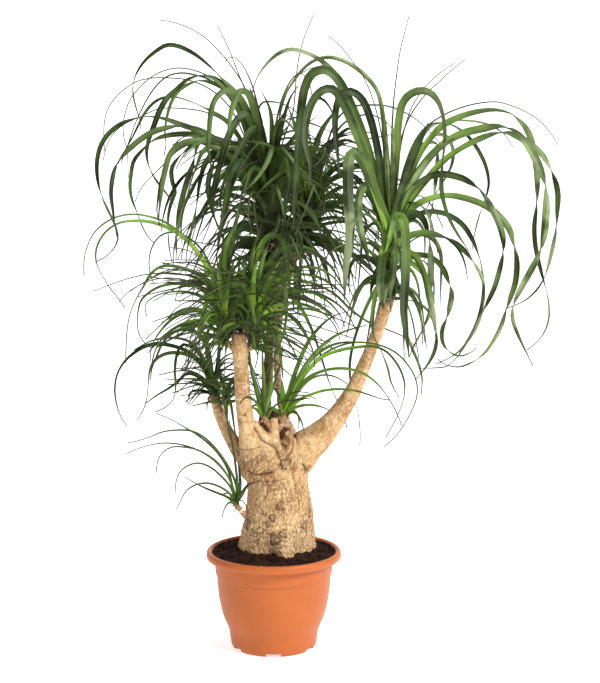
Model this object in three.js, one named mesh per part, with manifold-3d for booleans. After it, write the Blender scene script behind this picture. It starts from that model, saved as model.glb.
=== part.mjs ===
// Potted ponytail palm: a plastic pot, potting soil, one branched woody trunk and its heads of leaves.
// The origin is the middle of the pot's foot, +Z is up, the thick arm leans to +X and -Y is the front.
import * as THREE from "three";
import { mergeVertices } from "three/addons/utils/BufferGeometryUtils.js";
import Module from "manifold-3d";

const wasm = await Module();
wasm.setup();

// Driving dimensions, in millimetres and degrees
const SEAT_GAP = 0.3;
const ROUND_SIDES = 32;

const POT = {
  wall: 4,
  floorTop: 12,
  flatRadius: 100,
  footRadius: 108,
  // Outer face from the foot to the band, as [radius, height]
  bowl: [[108, 10], [113, 42], [122, 63], [133, 98], [140.5, 138], [144.5, 194]],
  bandFoot: [147, 196],
  bandTop: [151, 236],
  lip: [[166, 237], [170, 242], [170, 248], [166, 254.5], [161, 254.5]],
  throat: [[156.5, 243], [147, 233]],
  channels: 6,
  channelWidth: 38,
  channelHeight: 8,
  channelStart: 55,
  drainRadius: 7,
  drainPlace: 80,
};

// The soil's top is uneven by waves of these lengths
const SOIL = { top: 243, unevenness: 1.5, waves: [17, 21, 23], side: 0.5, shoulders: [0.86, 0.72] };

// The swollen base as [height, middle in X, radius]; below the soil line it is plain and round
const BASE = [
  [160, 7, 62], [168, 7, 86], [240, 7, 98], [256, 7.5, 101], [280, 9, 98], [304, 10.5, 95], [330, 12, 91.5],
  [358, 13, 88], [386, 13, 84], [414, 11.5, 80.5], [440, 9, 81], [462, 8, 85.5], [482, 9, 90], [504, 14, 90],
  [526, 20, 77], [542, 22, 56], [552, 22, 26],
];
const BASE_SIDES = 24;
const BASE_DEPTH = 0.93;
const SOIL_LINE = 246;
// Flutes round the base as [lobes, depth, turn], the second kind winding up it by a turn each `winding`
const FLUTES = { broad: [3, 2.2, 0.8], fine: [5, 1.6], winding: 40 };
// The hole that the base stands in widens at the soil's surface, where the base flares over it
const ROOT_HOLE = { clearance: 0.2, flare: 6, rimAbove: 3, mouthAbove: 30 };
// Knots on the base as [angle, height, reach, proud]; the front is at -90 degrees
const KNOTS = [
  [-83, 360, 17, 6], [-98, 330, 17, 6], [-55, 305, 19, 7], [-80, 290, 18, 6], [-92, 270, 21, 9],
  [-48, 336, 15, 5], [-75, 474, 20, 5], [150, 300, 24, 7], [95, 345, 22, 7], [30, 285, 22, 6],
  [60, 420, 20, 6],
];

// Limbs of the trunk: each has a path of middle points and a radius at each of them
const LIMBS = {
  burl: {
    path: [[-46, -8, 452], [-44, -30, 472], [-40, -42, 494], [-40, -40, 512]],
    radii: [34, 46, 46, 30],
  },
  rightArm: {
    path: [[20, 0, 440], [67, -8, 493], [123, -14, 560], [160, -20, 605], [193, -27, 657], [214, -35, 710],
      [233, -42, 758], [251, -50, 807], [265, -56, 848], [277, -60, 888]],
    radii: [52, 46, 35, 29, 24, 20.5, 18, 16.5, 17, 20],
    sides: 14,
  },
  uprightArm: {
    path: [[-35, -30, 470], [-53, -50, 504], [-61, -58, 532], [-70, -62, 570], [-76, -66, 607],
      [-77, -70, 681], [-79, -73, 737], [-81, -75, 785], [-84, -76, 812]],
    radii: [42, 36, 30, 24, 21.5, 21, 19, 18, 16],
    sides: 12,
  },
  uprightLeftTip: { path: [[-81, -75, 764], [-101, -75, 782], [-115, -76, 804]], radii: [14, 13, 12.5] },
  uprightRightTip: { path: [[-80, -75, 752], [-62, -77, 769], [-51, -78, 790]], radii: [14, 13, 12.5] },
  leftArm: {
    path: [[-50, 30, 455], [-91, 44, 486], [-110, 48, 517], [-128, 50, 555], [-141, 50, 593],
      [-148, 50, 628]],
    radii: [30, 19, 16, 14.5, 13, 12.5],
  },
  leftSpur: { path: [[-128, 50, 556], [-123, 38, 590], [-121, 30, 625]], radii: [8, 7.5, 7.5] },
  backStem: {
    path: [[-15, 25, 480], [-20, 45, 525], [-23, 55, 572], [-15, 60, 707], [-9, 60, 800], [-4, 60, 887],
      [-5, 60, 972]],
    radii: [27, 19, 15, 13, 12.5, 13, 16],
  },
  secondBackStem: {
    path: [[25, 35, 480], [36, 66, 530], [26, 88, 566], [15, 100, 615], [8, 108, 711], [13, 110, 829],
      [29, 110, 922], [52, 110, 1000]],
    radii: [24, 17, 13, 11.5, 11, 11, 12, 15],
  },
  stub: { path: [[6, -20, 500], [9, -28, 535], [7, -32, 570], [2, -34, 602]], radii: [22, 15, 12.5, 12.5] },
  stubLeftSpur: { path: [[5, -32, 566], [-9, -36, 578], [-18, -38, 592]], radii: [8, 7.5, 7] },
  stubRightSpur: { path: [[8, -32, 568], [20, -33, 582], [26, -33, 600]], radii: [8, 7.5, 7] },
  curvedStub: { path: [[40, -26, 512], [45, -42, 546], [49, -40, 574]], radii: [20, 12, 7.5] },
  baseSpur: { path: [[-58, -14, 340], [-76, -29, 353], [-89, -40, 372]], radii: [9, 7.5, 6.5] },
};
const LIMB_SIDES = 8;
// The foot of a column of leaf bases sits square on its limb for this length
const COLLAR = 12;

// Heads of leaves. Each stands on the end of a limb, on a column of leaf bases that runs through `column`.
// `leaves` are placed round the column by the golden angle, oldest and lowest first: `rise` and `fall` are
// the pitch of the oldest and the youngest leaf at its root and at its tip.
// `drawn` are single leaves placed by hand, as [width, roll, points of the middle line].
const HEADS = {
  crown_right: {
    limb: "rightArm",
    column: [[284, -61, 960], [291, -62, 1040], [293, -62, 1085]],
    girth: [22, 23, 17, 8],
    leaves: 26,
    length: [400, 960],
    width: [13, 19],
    rise: [22, 80],
    fall: [-78, -70],
    facing: 0,
    seed: 21,
    drawn: [
      [19, 35, [[290, -60, 1050], [370, -65, 1250], [445, -65, 1330], [540, -70, 1370], [620, -75, 1315],
        [645, -80, 1220], [640, -80, 1045], [685, -85, 885], [625, -90, 780]]],
      [18, 40, [[290, -70, 1055], [345, -75, 1200], [415, -80, 1295], [480, -92, 1320], [585, -104, 1290],
        [660, -112, 1200], [662, -118, 1110], [597, -130, 910], [580, -140, 870], [635, -150, 750]]],
      [17, 40, [[295, -60, 1060], [375, -52, 1200], [460, -46, 1285], [545, -40, 1315], [638, -32, 1270],
        [700, -24, 1165], [696, -10, 1010], [650, 0, 920], [580, 10, 872]]],
      [15, -30, [[285, -70, 1075], [305, -76, 1220], [322, -84, 1350], [360, -94, 1415], [408, -106, 1355],
        [416, -118, 1220], [424, -128, 1120], [485, -138, 1010]]],
      [15, 45, [[290, -80, 1035], [320, -88, 1115], [390, -104, 1205], [490, -122, 1190], [555, -136, 1095],
        [540, -152, 940], [465, -166, 795], [395, -178, 760]]],
      [14, 40, [[290, -50, 1020], [330, -42, 1115], [420, -34, 1155], [535, -22, 1130], [605, -6, 1010],
        [595, 6, 915], [540, 18, 770], [470, 28, 725], [415, 36, 740]]],
      [13, 30, [[290, -80, 985], [335, -100, 1060], [415, -130, 1070], [485, -165, 1010], [505, -200, 920]]],
      [13, 35, [[290, -40, 955], [370, -25, 1010], [435, -10, 955], [430, 4, 860], [440, 22, 770],
        [480, 42, 750], [515, 60, 765]]],
      [5, 20, [[290, -50, 1070], [330, -44, 1225], [385, -35, 1325], [460, -15, 1372], [550, 5, 1388],
        [665, 30, 1335], [715, 60, 1280]]],
      [4, 0, [[290, -60, 1080], [290, -60, 1220], [295, -60, 1355], [305, -60, 1465], [330, -60, 1590]]],
      [4, 0, [[295, -60, 1075], [315, -50, 1285], [345, -35, 1350], [390, -20, 1415], [475, 0, 1490]]],
      [4, 0, [[290, -55, 1075], [275, -45, 1280], [260, -35, 1415], [210, -15, 1470], [140, 0, 1545]]],
      [19, 0, [[284, -80, 1050], [286, -94, 1125], [304, -110, 1112], [320, -124, 1050], [322, -142, 970],
        [322, -158, 890], [330, -176, 780]]],
      [17, 0, [[285, -85, 1040], [320, -104, 1112], [355, -124, 1118], [380, -148, 1065], [380, -172, 955],
        [370, -200, 875]]],
      [15, 0, [[285, -85, 985], [340, -104, 1020], [365, -120, 980], [382, -144, 910], [395, -168, 815],
        [368, -192, 750], [340, -222, 728]]],
      [20, -30, [[280, -80, 1045], [262, -92, 1155], [212, -106, 1345], [170, -120, 1425], [120, -136, 1462],
        [85, -150, 1440], [70, -164, 1370], [65, -184, 1250]]],
      [20, -20, [[280, -90, 1035], [265, -108, 1120], [228, -132, 1310], [145, -156, 1418], [95, -180, 1380],
        [62, -206, 1290], [50, -234, 1205], [50, -262, 1095]]],
      [17, -10, [[275, -95, 1025], [240, -115, 1190], [207, -136, 1268], [186, -158, 1262], [184, -182, 1160],
        [180, -208, 1035], [175, -234, 945]]],
    ],
  },
  crown_upper_left: {
    limb: "backStem",
    column: [[-6, 60, 1050], [-14, 60, 1130], [-20, 58, 1190]],
    girth: [24, 27, 21, 9],
    leaves: 27,
    length: [380, 860],
    width: [10, 14],
    rise: [18, 80],
    fall: [-84, -74],
    facing: 40,
    seed: 34,
    drawn: [
      [13, 30, [[-25, 52, 1170], [-55, 40, 1340], [-100, 30, 1415], [-200, 15, 1510], [-250, -5, 1525],
        [-325, -20, 1465], [-340, -40, 1420], [-320, -60, 1335]]],
      [4, 0, [[-25, 60, 1170], [-55, 60, 1390], [-110, 55, 1480], [-160, 50, 1535], [-230, 45, 1575],
        [-280, 40, 1585]]],
      [4, 0, [[-22, 45, 1170], [-50, 28, 1365], [-85, 5, 1465], [-135, -20, 1570]]],
      [4, 0, [[-15, 64, 1170], [25, 72, 1325], [55, 84, 1385], [60, 94, 1465], [75, 106, 1530],
        [105, 120, 1600]]],
      [9, -20, [[-15, 50, 1170], [15, 46, 1390], [65, 42, 1460], [115, 38, 1495], [155, 34, 1495],
        [200, 30, 1475], [240, 26, 1435], [278, 22, 1340]]],
      [12, 35, [[-35, 40, 1150], [-110, 20, 1265], [-185, 10, 1310], [-315, -5, 1350], [-415, -20, 1295],
        [-435, -35, 1245], [-420, -55, 1155], [-384, -70, 1065], [-450, -90, 980]]],
      [13, 25, [[-30, 40, 1150], [-95, 5, 1315], [-165, -20, 1360], [-250, -52, 1350], [-322, -92, 1270],
        [-342, -128, 1150], [-365, -168, 1055]]],
      [13, 10, [[-25, 38, 1160], [-65, -10, 1365], [-115, -44, 1405], [-165, -76, 1370], [-198, -112, 1250],
        [-220, -150, 1120]]],
    ],
  },
  crown_back: {
    limb: "secondBackStem",
    column: [[74, 111, 1060], [90, 112, 1115], [96, 112, 1150]],
    girth: [24, 25, 18, 8],
    leaves: 30,
    length: [280, 640],
    width: [9, 12],
    rise: [12, 80],
    fall: [-76, -60],
    facing: 70,
    seed: 55,
    drawn: [],
  },
  crown_middle_left: {
    limb: "uprightLeftTip",
    column: [[-121, -77, 850], [-121, -78, 880], [-120, -79, 900]],
    girth: [14, 18, 13, 6],
    leaves: 20,
    length: [230, 540],
    width: [8, 12],
    rise: [10, 78],
    fall: [-74, -60],
    facing: 190,
    seed: 13,
    drawn: [
      [11, 30, [[-118, -76, 880], [-135, -80, 960], [-210, -85, 1050], [-285, -95, 1095], [-335, -102, 1100],
        [-390, -112, 1080], [-425, -122, 1035], [-425, -132, 980], [-358, -142, 885]]],
      [9, 25, [[-118, -74, 885], [-165, -62, 990], [-230, -56, 1050], [-330, -50, 1110], [-400, -42, 1100],
        [-448, -34, 1055], [-468, -24, 1000], [-470, -14, 935]]],
      [9, 25, [[-116, -80, 870], [-150, -92, 960], [-190, -104, 980], [-265, -120, 990], [-292, -134, 975],
        [-312, -148, 935], [-340, -164, 885], [-350, -184, 770]]],
      [11, -20, [[-115, -80, 890], [-116, -86, 955], [-110, -92, 1015], [-75, -100, 1088], [-10, -108, 1098],
        [50, -118, 1045]]],
    ],
  },
  crown_middle_right: {
    limb: "uprightRightTip",
    column: [[-44, -80, 838], [-44, -81, 866], [-45, -82, 888]],
    girth: [14, 18, 13, 6],
    leaves: 20,
    length: [210, 500],
    width: [8, 12],
    rise: [10, 80],
    fall: [-72, -60],
    facing: -30,
    seed: 89,
    drawn: [
      [13, -20, [[-46, -80, 865], [-50, -90, 970], [-20, -102, 1048], [5, -118, 1070], [28, -132, 1020],
        [35, -146, 945], [50, -160, 890]]],
      [11, 0, [[-46, -82, 860], [-40, -100, 930], [-15, -124, 996], [12, -150, 1000], [32, -178, 930],
        [26, -202, 840], [-5, -228, 750]]],
    ],
  },
  crown_lower_left: {
    limb: "leftArm",
    column: [[-153, 50, 655], [-155, 50, 675]],
    girth: [13, 14, 7],
    leaves: 17,
    length: [160, 380],
    width: [7, 10],
    rise: [15, 78],
    fall: [-66, -50],
    facing: 200,
    seed: 144,
    drawn: [
      [9, 20, [[-152, 48, 660], [-180, 42, 725], [-220, 32, 765], [-300, 18, 775], [-375, 8, 725],
        [-395, -5, 680], [-385, -20, 600]]],
      [9, 20, [[-152, 52, 655], [-185, 58, 722], [-220, 70, 742], [-290, 80, 735], [-317, 88, 705],
        [-330, 100, 610]]],
      [8, 10, [[-153, 48, 665], [-170, 30, 765], [-195, 8, 812], [-235, -12, 818], [-280, -37, 775],
        [-305, -62, 690]]],
    ],
  },
  tuft_lower_left: {
    limb: "leftSpur",
    column: [[-120, 27, 645]],
    girth: [8, 5],
    leaves: 8,
    length: [140, 230],
    width: [6, 8],
    rise: [20, 80],
    fall: [-60, -20],
    facing: -60,
    seed: 233,
    drawn: [],
  },
  tuft_centre_left: {
    limb: "stubLeftSpur",
    column: [[-26, -40, 612]],
    girth: [8, 5],
    leaves: 9,
    length: [120, 260],
    width: [7, 10],
    rise: [45, 84],
    fall: [-30, 20],
    facing: 200,
    seed: 377,
    drawn: [],
  },
  tuft_centre_right: {
    limb: "stubRightSpur",
    column: [[29, -33, 622]],
    girth: [9, 6],
    leaves: 7,
    length: [120, 280],
    width: [8, 11],
    rise: [45, 82],
    fall: [-40, 0],
    facing: -60,
    seed: 610,
    drawn: [
      [13, 20, [[29, -33, 618], [55, -42, 710], [90, -58, 780], [140, -76, 850], [175, -96, 875]]],
      [14, 20, [[29, -34, 616], [52, -54, 685], [107, -76, 762], [165, -104, 812], [210, -134, 838]]],
      [12, 25, [[30, -36, 616], [62, -52, 700], [115, -76, 752], [220, -104, 790], [268, -124, 792],
        [320, -146, 725], [320, -168, 660], [278, -194, 580]]],
      [12, 25, [[30, -37, 614], [70, -60, 672], [112, -84, 712], [165, -108, 735], [210, -128, 733],
        [258, -150, 702], [312, -178, 612]]],
      [9, 25, [[30, -38, 614], [74, -62, 655], [118, -84, 674], [175, -110, 688], [230, -134, 684],
        [280, -158, 662]]],
    ],
  },
  tuft_base: {
    limb: "baseSpur",
    column: [[-94, -44, 392]],
    girth: [7, 4],
    leaves: 3,
    length: [120, 180],
    width: [5, 7],
    rise: [30, 70],
    fall: [-50, -20],
    facing: 90,
    seed: 987,
    drawn: [
      [8, 20, [[-93, -44, 390], [-102, -47, 420], [-128, -54, 485], [-160, -65, 535], [-195, -80, 570],
        [-240, -92, 580], [-315, -107, 562], [-355, -122, 555]]],
      [7, 20, [[-93, -44, 388], [-125, -42, 460], [-160, -44, 505], [-205, -48, 528], [-285, -52, 538],
        [-365, -58, 513]]],
      [6, 20, [[-93, -44, 386], [-160, -66, 500], [-205, -88, 532], [-243, -112, 538], [-270, -134, 528],
        [-285, -164, 480]]],
      [7, 20, [[-93, -45, 386], [-140, -72, 462], [-165, -102, 492], [-190, -128, 502], [-215, -160, 498],
        [-235, -194, 440]]],
      [6, 20, [[-93, -45, 384], [-125, -62, 420], [-155, -80, 436], [-182, -102, 444], [-210, -124, 436],
        [-240, -148, 388]]],
      [6, 0, [[-93, -46, 390], [-96, -70, 470], [-105, -84, 550], [-110, -92, 608]]],
      [5, 10, [[-93, -43, 388], [-120, -33, 465], [-190, -20, 548], [-255, -4, 585], [-300, 6, 605]]],
    ],
  },
};

const GOLDEN_ANGLE = 137.508;
const LEAF = {
  // The shares of its length between which a leaf bends over
  bend: [-0.05, 0.9],
  keel: 0.07,
  thinnest: 0.65,
  // Segments of the shortest and the longest leaves, and the lengths that have them
  segments: [4, 7],
  lengths: [150, 780],
  sunk: 15,
  lowRoot: 0.14,
  topRoot: 0.93,
  lowestTip: 285,
  mostTwist: 11,
  mostRoll: 30,
  mostSweep: 30,
  tries: 160,
  // How far a leaf may stray from the rule at its first try, and how much more at its last
  stray: { azimuth: [10, 60], rise: [7, 22], fall: [10, 25] },
  // The share of its length that a leaf loses at its last try
  mostLost: 0.45,
  leastGrown: 0.6,
  // A leaf is this share of its full width at its root, opens out at this rate and narrows by this power
  rootWidth: 0.72,
  opening: 2.2,
  taper: 2.4,
  leastWidth: 1.6,
  routeSteps: 24,
  // The share of a head's age at which its leaves are longest, and how fast they shorten away from it
  longestAge: 0.38,
  shortening: 1.4,
  // How far from its root a leaf may still touch its own column and the wood under it
  rootReach: 34,
};
// Side of the cells in which leaves are kept clear of each other, and the step along a leaf between tests
const CELL = 6;
const TEST_STEP = 5;
// Cells are numbered from this far below zero, in rows of twice as many
const CELL_OFFSET = 512;
const EXTRA_WOOD_RINGS = 6;
// Drawn leaves are rooted on one of these many points of a column's axis, past its lowest ones
const AXIS_POINTS = 60;
const LOWEST_AXIS_POINT = 12;

const FINISH = {
  pot: { color: 0xde7e4c, roughness: 0.42, metalness: 0 },
  soil: { color: 0x23160f, roughness: 0.97, metalness: 0 },
  bark: { color: 0xc8a064, roughness: 0.88, metalness: 0 },
  leaf: { color: 0x375f23, roughness: 0.45, metalness: 0 },
  youngLeaf: { color: 0x5a8c28, roughness: 0.42, metalness: 0 },
};

// Small helpers
const radians = THREE.MathUtils.degToRad;
const lerp = THREE.MathUtils.lerp;
const vector = (point) => new THREE.Vector3(...point);

function seededRandom(seed) {
  let state = seed >>> 0;
  return () => {
    state = (state + 0x6d2b79f5) >>> 0;
    let mixed = Math.imul(state ^ (state >>> 15), 1 | state);
    mixed = (mixed + Math.imul(mixed ^ (mixed >>> 7), 61 | mixed)) ^ mixed;
    return ((mixed ^ (mixed >>> 14)) >>> 0) / 4294967296;
  };
}

function valueAlong(values, share) {
  const place = share * (values.length - 1);
  const first = Math.min(Math.floor(place), values.length - 2);
  return lerp(values[first], values[first + 1], place - first);
}

function solidOf(geometry) {
  const bare = geometry.clone();
  bare.deleteAttribute("normal");
  bare.deleteAttribute("uv");
  const merged = mergeVertices(bare, 1e-3);
  return new wasm.Manifold(new wasm.Mesh({
    numProp: 3,
    vertProperties: merged.attributes.position.array,
    triVerts: new Uint32Array(merged.index.array),
  }));
}

function meshOf(name, solid, finish) {
  const { vertProperties, triVerts } = solid.getMesh();
  const geometry = new THREE.BufferGeometry();
  geometry.setAttribute("position", new THREE.BufferAttribute(vertProperties, 3));
  geometry.setIndex(new THREE.BufferAttribute(triVerts, 1));
  geometry.computeVertexNormals();
  const mesh = new THREE.Mesh(geometry, new THREE.MeshStandardMaterial(finish));
  mesh.name = name;
  return mesh;
}

// A closed skin over rings of equal count, each listed anticlockwise as seen from the last ring
function skin(rings, startTip, endTip) {
  const sides = rings[0].length;
  const points = [...rings.flat(), startTip, endTip];
  const startIndex = points.length - 2;
  const endIndex = points.length - 1;
  const faces = [];
  for (let side = 0; side < sides; side += 1) {
    const next = (side + 1) % sides;
    faces.push(startIndex, next, side);
    for (let ring = 0; ring < rings.length - 1; ring += 1) {
      const low = ring * sides;
      const high = low + sides;
      faces.push(low + side, low + next, high + next, low + side, high + next, high + side);
    }
    const last = (rings.length - 1) * sides;
    faces.push(last + side, last + next, endIndex);
  }
  const geometry = new THREE.BufferGeometry();
  const flat = new Float32Array(points.flatMap((point) => [point.x, point.y, point.z]));
  geometry.setAttribute("position", new THREE.BufferAttribute(flat, 3));
  geometry.setIndex(faces);
  return geometry;
}

// Frames carried along a curve without turning about it
function framesAlong(curve, stations, firstSide) {
  const frames = [];
  let side = firstSide.clone();
  for (let i = 0; i <= stations; i += 1) {
    const share = i / stations;
    const along = curve.getTangent(share);
    side = side.addScaledVector(along, -side.dot(along)).normalize();
    frames.push({ share, point: curve.getPoint(share), along, side: side.clone() });
  }
  return frames;
}

// Pot and soil

function innerOutline(clearance) {
  const wall = POT.wall + clearance;
  const low = [[POT.footRadius - wall, POT.floorTop + clearance]];
  const bowl = POT.bowl.slice(1).map(([radius, height]) => [radius - wall, height]);
  const throat = POT.throat.map(([radius, height]) => [radius - clearance, height]).reverse();
  return [...low, ...bowl, ...throat];
}

function turned(outline) {
  const points = outline.map(([radius, height]) => new THREE.Vector2(radius, height));
  return new THREE.LatheGeometry(points, ROUND_SIDES).rotateX(Math.PI / 2);
}

function pot() {
  const outline = [[0, 0], [POT.flatRadius, 0], [POT.footRadius - 2, 3], ...POT.bowl, POT.bandFoot,
    POT.bandTop, ...POT.lip, ...innerOutline(0).reverse(), [0, POT.floorTop]];
  let shell = solidOf(turned(outline));
  for (let i = 0; i < POT.channels; i += 1) {
    const turn = radians(-90 + (360 / POT.channels) * i);
    const channel = new THREE.BoxGeometry(POT.footRadius, POT.channelWidth, 2 * POT.channelHeight)
      .translate(POT.channelStart + POT.footRadius / 2, 0, 0)
      .rotateZ(turn);
    const drain = new THREE.CylinderGeometry(POT.drainRadius, POT.drainRadius, 4 * POT.floorTop, 12)
      .rotateX(Math.PI / 2)
      .translate(POT.drainPlace, 0, 0)
      .rotateZ(turn);
    shell = shell.subtract(solidOf(channel)).subtract(solidOf(drain));
  }
  return shell;
}

function soilHeight(x, y) {
  const [alongX, alongY, across] = SOIL.waves;
  const lumps = Math.sin(x / alongX + 1.3) * Math.cos(y / alongY - 0.6);
  const ripple = 0.6 * Math.sin((x - 2 * y) / across);
  return SOIL.top + SOIL.unevenness * (lumps + ripple);
}

function soil() {
  const topRadius = POT.throat[0][0] - SOIL.side;
  const rings = SOIL.shoulders.map((share) => [topRadius * share, SOIL.top]);
  const foot = [0, POT.floorTop + SOIL.side];
  const geometry = turned([foot, ...innerOutline(SOIL.side), ...rings, [0, SOIL.top]]);
  const places = geometry.attributes.position;
  for (let i = 0; i < places.count; i += 1) {
    const reach = Math.hypot(places.getX(i), places.getY(i));
    if (places.getZ(i) > SOIL.top - 1 && reach < topRadius - 1) {
      places.setZ(i, soilHeight(places.getX(i), places.getY(i)));
    }
  }
  return solidOf(geometry).subtract(solidOf(rootHole()));
}

// Trunk

function baseRadius(angle, height, radius) {
  if (height < SOIL_LINE) return radius;
  const [lobes, depth, turn] = FLUTES.broad;
  const [fineLobes, fineDepth] = FLUTES.fine;
  let proud = depth * Math.sin(lobes * angle + turn);
  proud += fineDepth * Math.sin(fineLobes * angle + height / FLUTES.winding);
  for (const [knotAngle, knotHeight, reach, size] of KNOTS) {
    const between = angle - radians(knotAngle);
    const arc = Math.atan2(Math.sin(between), Math.cos(between)) * radius;
    const away = Math.hypot(arc, height - knotHeight) / reach;
    proud += size * Math.exp(-away * away * 2);
  }
  return radius + proud;
}

function baseRing([height, middle, radius], grow, shape) {
  const ring = [];
  for (let side = 0; side < BASE_SIDES; side += 1) {
    const angle = (2 * Math.PI * side) / BASE_SIDES;
    const reach = shape(angle, height, radius) + grow;
    const depth = reach * BASE_DEPTH * Math.sin(angle);
    ring.push(new THREE.Vector3(middle + reach * Math.cos(angle), depth, height));
  }
  return ring;
}

function swollenBase() {
  const rings = BASE.map((row) => baseRing(row, 0, baseRadius));
  const [bottom, middle] = BASE[0];
  const [top, topMiddle] = BASE[BASE.length - 1];
  return skin(rings, new THREE.Vector3(middle, 0, bottom), new THREE.Vector3(topMiddle, 0, top + 3));
}

function rootHole() {
  const plain = (angle, height, radius) => radius;
  const buried = BASE.filter(([height]) => height < SOIL_LINE);
  const [bottom, middle, bottomRadius] = buried[0];
  const mouthRadius = buried[buried.length - 1][2] + ROOT_HOLE.flare;
  const mouth = [SOIL.top + ROOT_HOLE.mouthAbove, middle, mouthRadius];
  const rim = [SOIL.top + ROOT_HOLE.rimAbove, middle, mouthRadius];
  const foot = [bottom - SEAT_GAP - 0.1, middle, bottomRadius];
  const rows = [foot, ...buried.slice(1), rim, mouth];
  const rings = rows.map((row) => baseRing(row, SEAT_GAP + ROOT_HOLE.clearance, plain));
  const floor = new THREE.Vector3(middle, 0, foot[0]);
  return skin(rings, floor, new THREE.Vector3(middle, 0, mouth[0]));
}

function limbCurve({ path }) {
  return new THREE.CatmullRomCurve3(path.map(vector), false, "centripetal");
}

function limb(shape, firstSide = new THREE.Vector3(0, 1, 0)) {
  const sides = shape.sides ?? LIMB_SIDES;
  const frames = framesAlong(limbCurve(shape), shape.path.length - 1 + (shape.extra ?? 0), firstSide);
  const rings = frames.map(({ share, point, along, side }) => {
    const across = new THREE.Vector3().crossVectors(along, side);
    const radius = valueAlong(shape.radii, share);
    return Array.from({ length: sides }, (_, i) => {
      const angle = (2 * Math.PI * i) / sides;
      return point.clone()
        .addScaledVector(side, radius * Math.cos(angle))
        .addScaledVector(across, radius * Math.sin(angle));
    });
  });
  return skin(rings, frames[0].point, frames[frames.length - 1].point);
}

function trunk() {
  const limbs = Object.values(LIMBS).map((shape) => solidOf(limb(shape)));
  return wasm.Manifold.union([solidOf(swollenBase()), ...limbs]);
}

// Heads of leaves

// The column of leaf bases continues the limb that it stands on
function columnOf(head) {
  const curve = limbCurve(LIMBS[head.limb]);
  const tip = curve.getPoint(1);
  const along = curve.getTangent(1);
  const foot = tip.clone().addScaledVector(along, SEAT_GAP);
  const collar = tip.clone().addScaledVector(along, COLLAR);
  const path = [foot, collar, ...head.column.map(vector)].map((point) => point.toArray());
  const radii = [head.girth[0], ...head.girth];
  while (radii.length < path.length) radii.push(radii[radii.length - 1]);
  return { path, radii };
}

function archedRoute({ root, azimuth, rise, fall, length, sweep }) {
  const steps = LEAF.routeSteps;
  const here = root.clone();
  const points = [here.clone()];
  for (let i = 0; i < steps; i += 1) {
    const share = (i + 0.5) / steps;
    const bent = THREE.MathUtils.smootherstep(share, ...LEAF.bend);
    const pitch = radians(lerp(rise, fall, bent));
    const heading = radians(azimuth + sweep * share * share);
    here.x += (length / steps) * Math.cos(pitch) * Math.cos(heading);
    here.y += (length / steps) * Math.cos(pitch) * Math.sin(heading);
    here.z += (length / steps) * Math.sin(pitch);
    points.push(here.clone());
  }
  return points;
}

function widthAlong(share) {
  const opening = Math.min(1, LEAF.rootWidth + LEAF.opening * share);
  return opening * (1 - share ** LEAF.taper);
}

// The stations of one leaf: its middle line, its side direction and its width
function leafStations({ route, width, roll, twist, segments }) {
  const curve = new THREE.CatmullRomCurve3(route, false, "centripetal");
  const reach = route[route.length - 1].clone().sub(route[0]);
  const heading = Math.atan2(reach.y, reach.x);
  const firstSide = new THREE.Vector3(-Math.sin(heading), Math.cos(heading), 0);
  return framesAlong(curve, segments, firstSide).map((frame) => {
    const turn = radians(roll + twist * frame.share);
    const side = frame.side.clone().applyAxisAngle(frame.along, turn);
    const wide = Math.max(width * widthAlong(frame.share), LEAF.leastWidth);
    return { ...frame, side, wide };
  });
}

// A leaf is three-sided: two edges and a keel, drawn to a point
function leafSkin(stations) {
  const body = stations.slice(0, -1);
  const rings = body.map(({ point, along, side, wide }) => {
    const upper = new THREE.Vector3().crossVectors(side, along);
    const keel = Math.max(LEAF.thinnest, wide * LEAF.keel + LEAF.thinnest * 0.8);
    return [
      point.clone().addScaledVector(side, -wide / 2),
      point.clone().addScaledVector(side, wide / 2),
      point.clone().addScaledVector(upper, -keel),
    ];
  });
  return skin(rings, body[0].point, stations[stations.length - 1].point);
}

// Cells of space that hold wood or leaves, each with a bit for the node that it belongs to
const WOOD = 1;
const taken = new Map();
const cellKey = (x, y, z) => ((x + CELL_OFFSET) * 2 * CELL_OFFSET + y + CELL_OFFSET) * 2 * CELL_OFFSET + z;
const cellOf = (point) => [point.x, point.y, point.z].map((value) => Math.floor(value / CELL));

function takeSpace(points, owner) {
  for (const point of points) {
    const key = cellKey(...cellOf(point));
    taken.set(key, (taken.get(key) ?? 0) | owner);
  }
}

function ownersNear(point) {
  const [x, y, z] = cellOf(point);
  let owners = 0;
  for (let i = -1; i <= 1; i += 1) {
    for (let j = -1; j <= 1; j += 1) {
      for (let k = -1; k <= 1; k += 1) owners |= taken.get(cellKey(x + i, y + j, z + k)) ?? 0;
    }
  }
  return owners;
}

function pointsOnRings(rings) {
  const points = [];
  for (let ring = 0; ring < rings.length - 1; ring += 1) {
    const sides = rings[ring].length;
    for (let side = 0; side < sides; side += 1) {
      const corners = [rings[ring][side], rings[ring][(side + 1) % sides], rings[ring + 1][side],
        rings[ring + 1][(side + 1) % sides]];
      const rows = Math.ceil(corners[0].distanceTo(corners[2]) / TEST_STEP);
      const columns = Math.ceil(corners[0].distanceTo(corners[1]) / TEST_STEP);
      for (let row = 0; row <= rows; row += 1) {
        const start = corners[0].clone().lerp(corners[2], row / rows);
        const end = corners[1].clone().lerp(corners[3], row / rows);
        for (let column = 0; column <= columns; column += 1) {
          points.push(start.clone().lerp(end, column / columns));
        }
      }
    }
  }
  return points;
}

function ringsOf(geometry, sides) {
  const places = geometry.attributes.position;
  const rings = [];
  for (let i = 0; i + sides <= places.count - 2; i += sides) {
    const at = (side) => new THREE.Vector3().fromBufferAttribute(places, i + side);
    rings.push(Array.from({ length: sides }, (_, side) => at(side)));
  }
  return rings;
}

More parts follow.
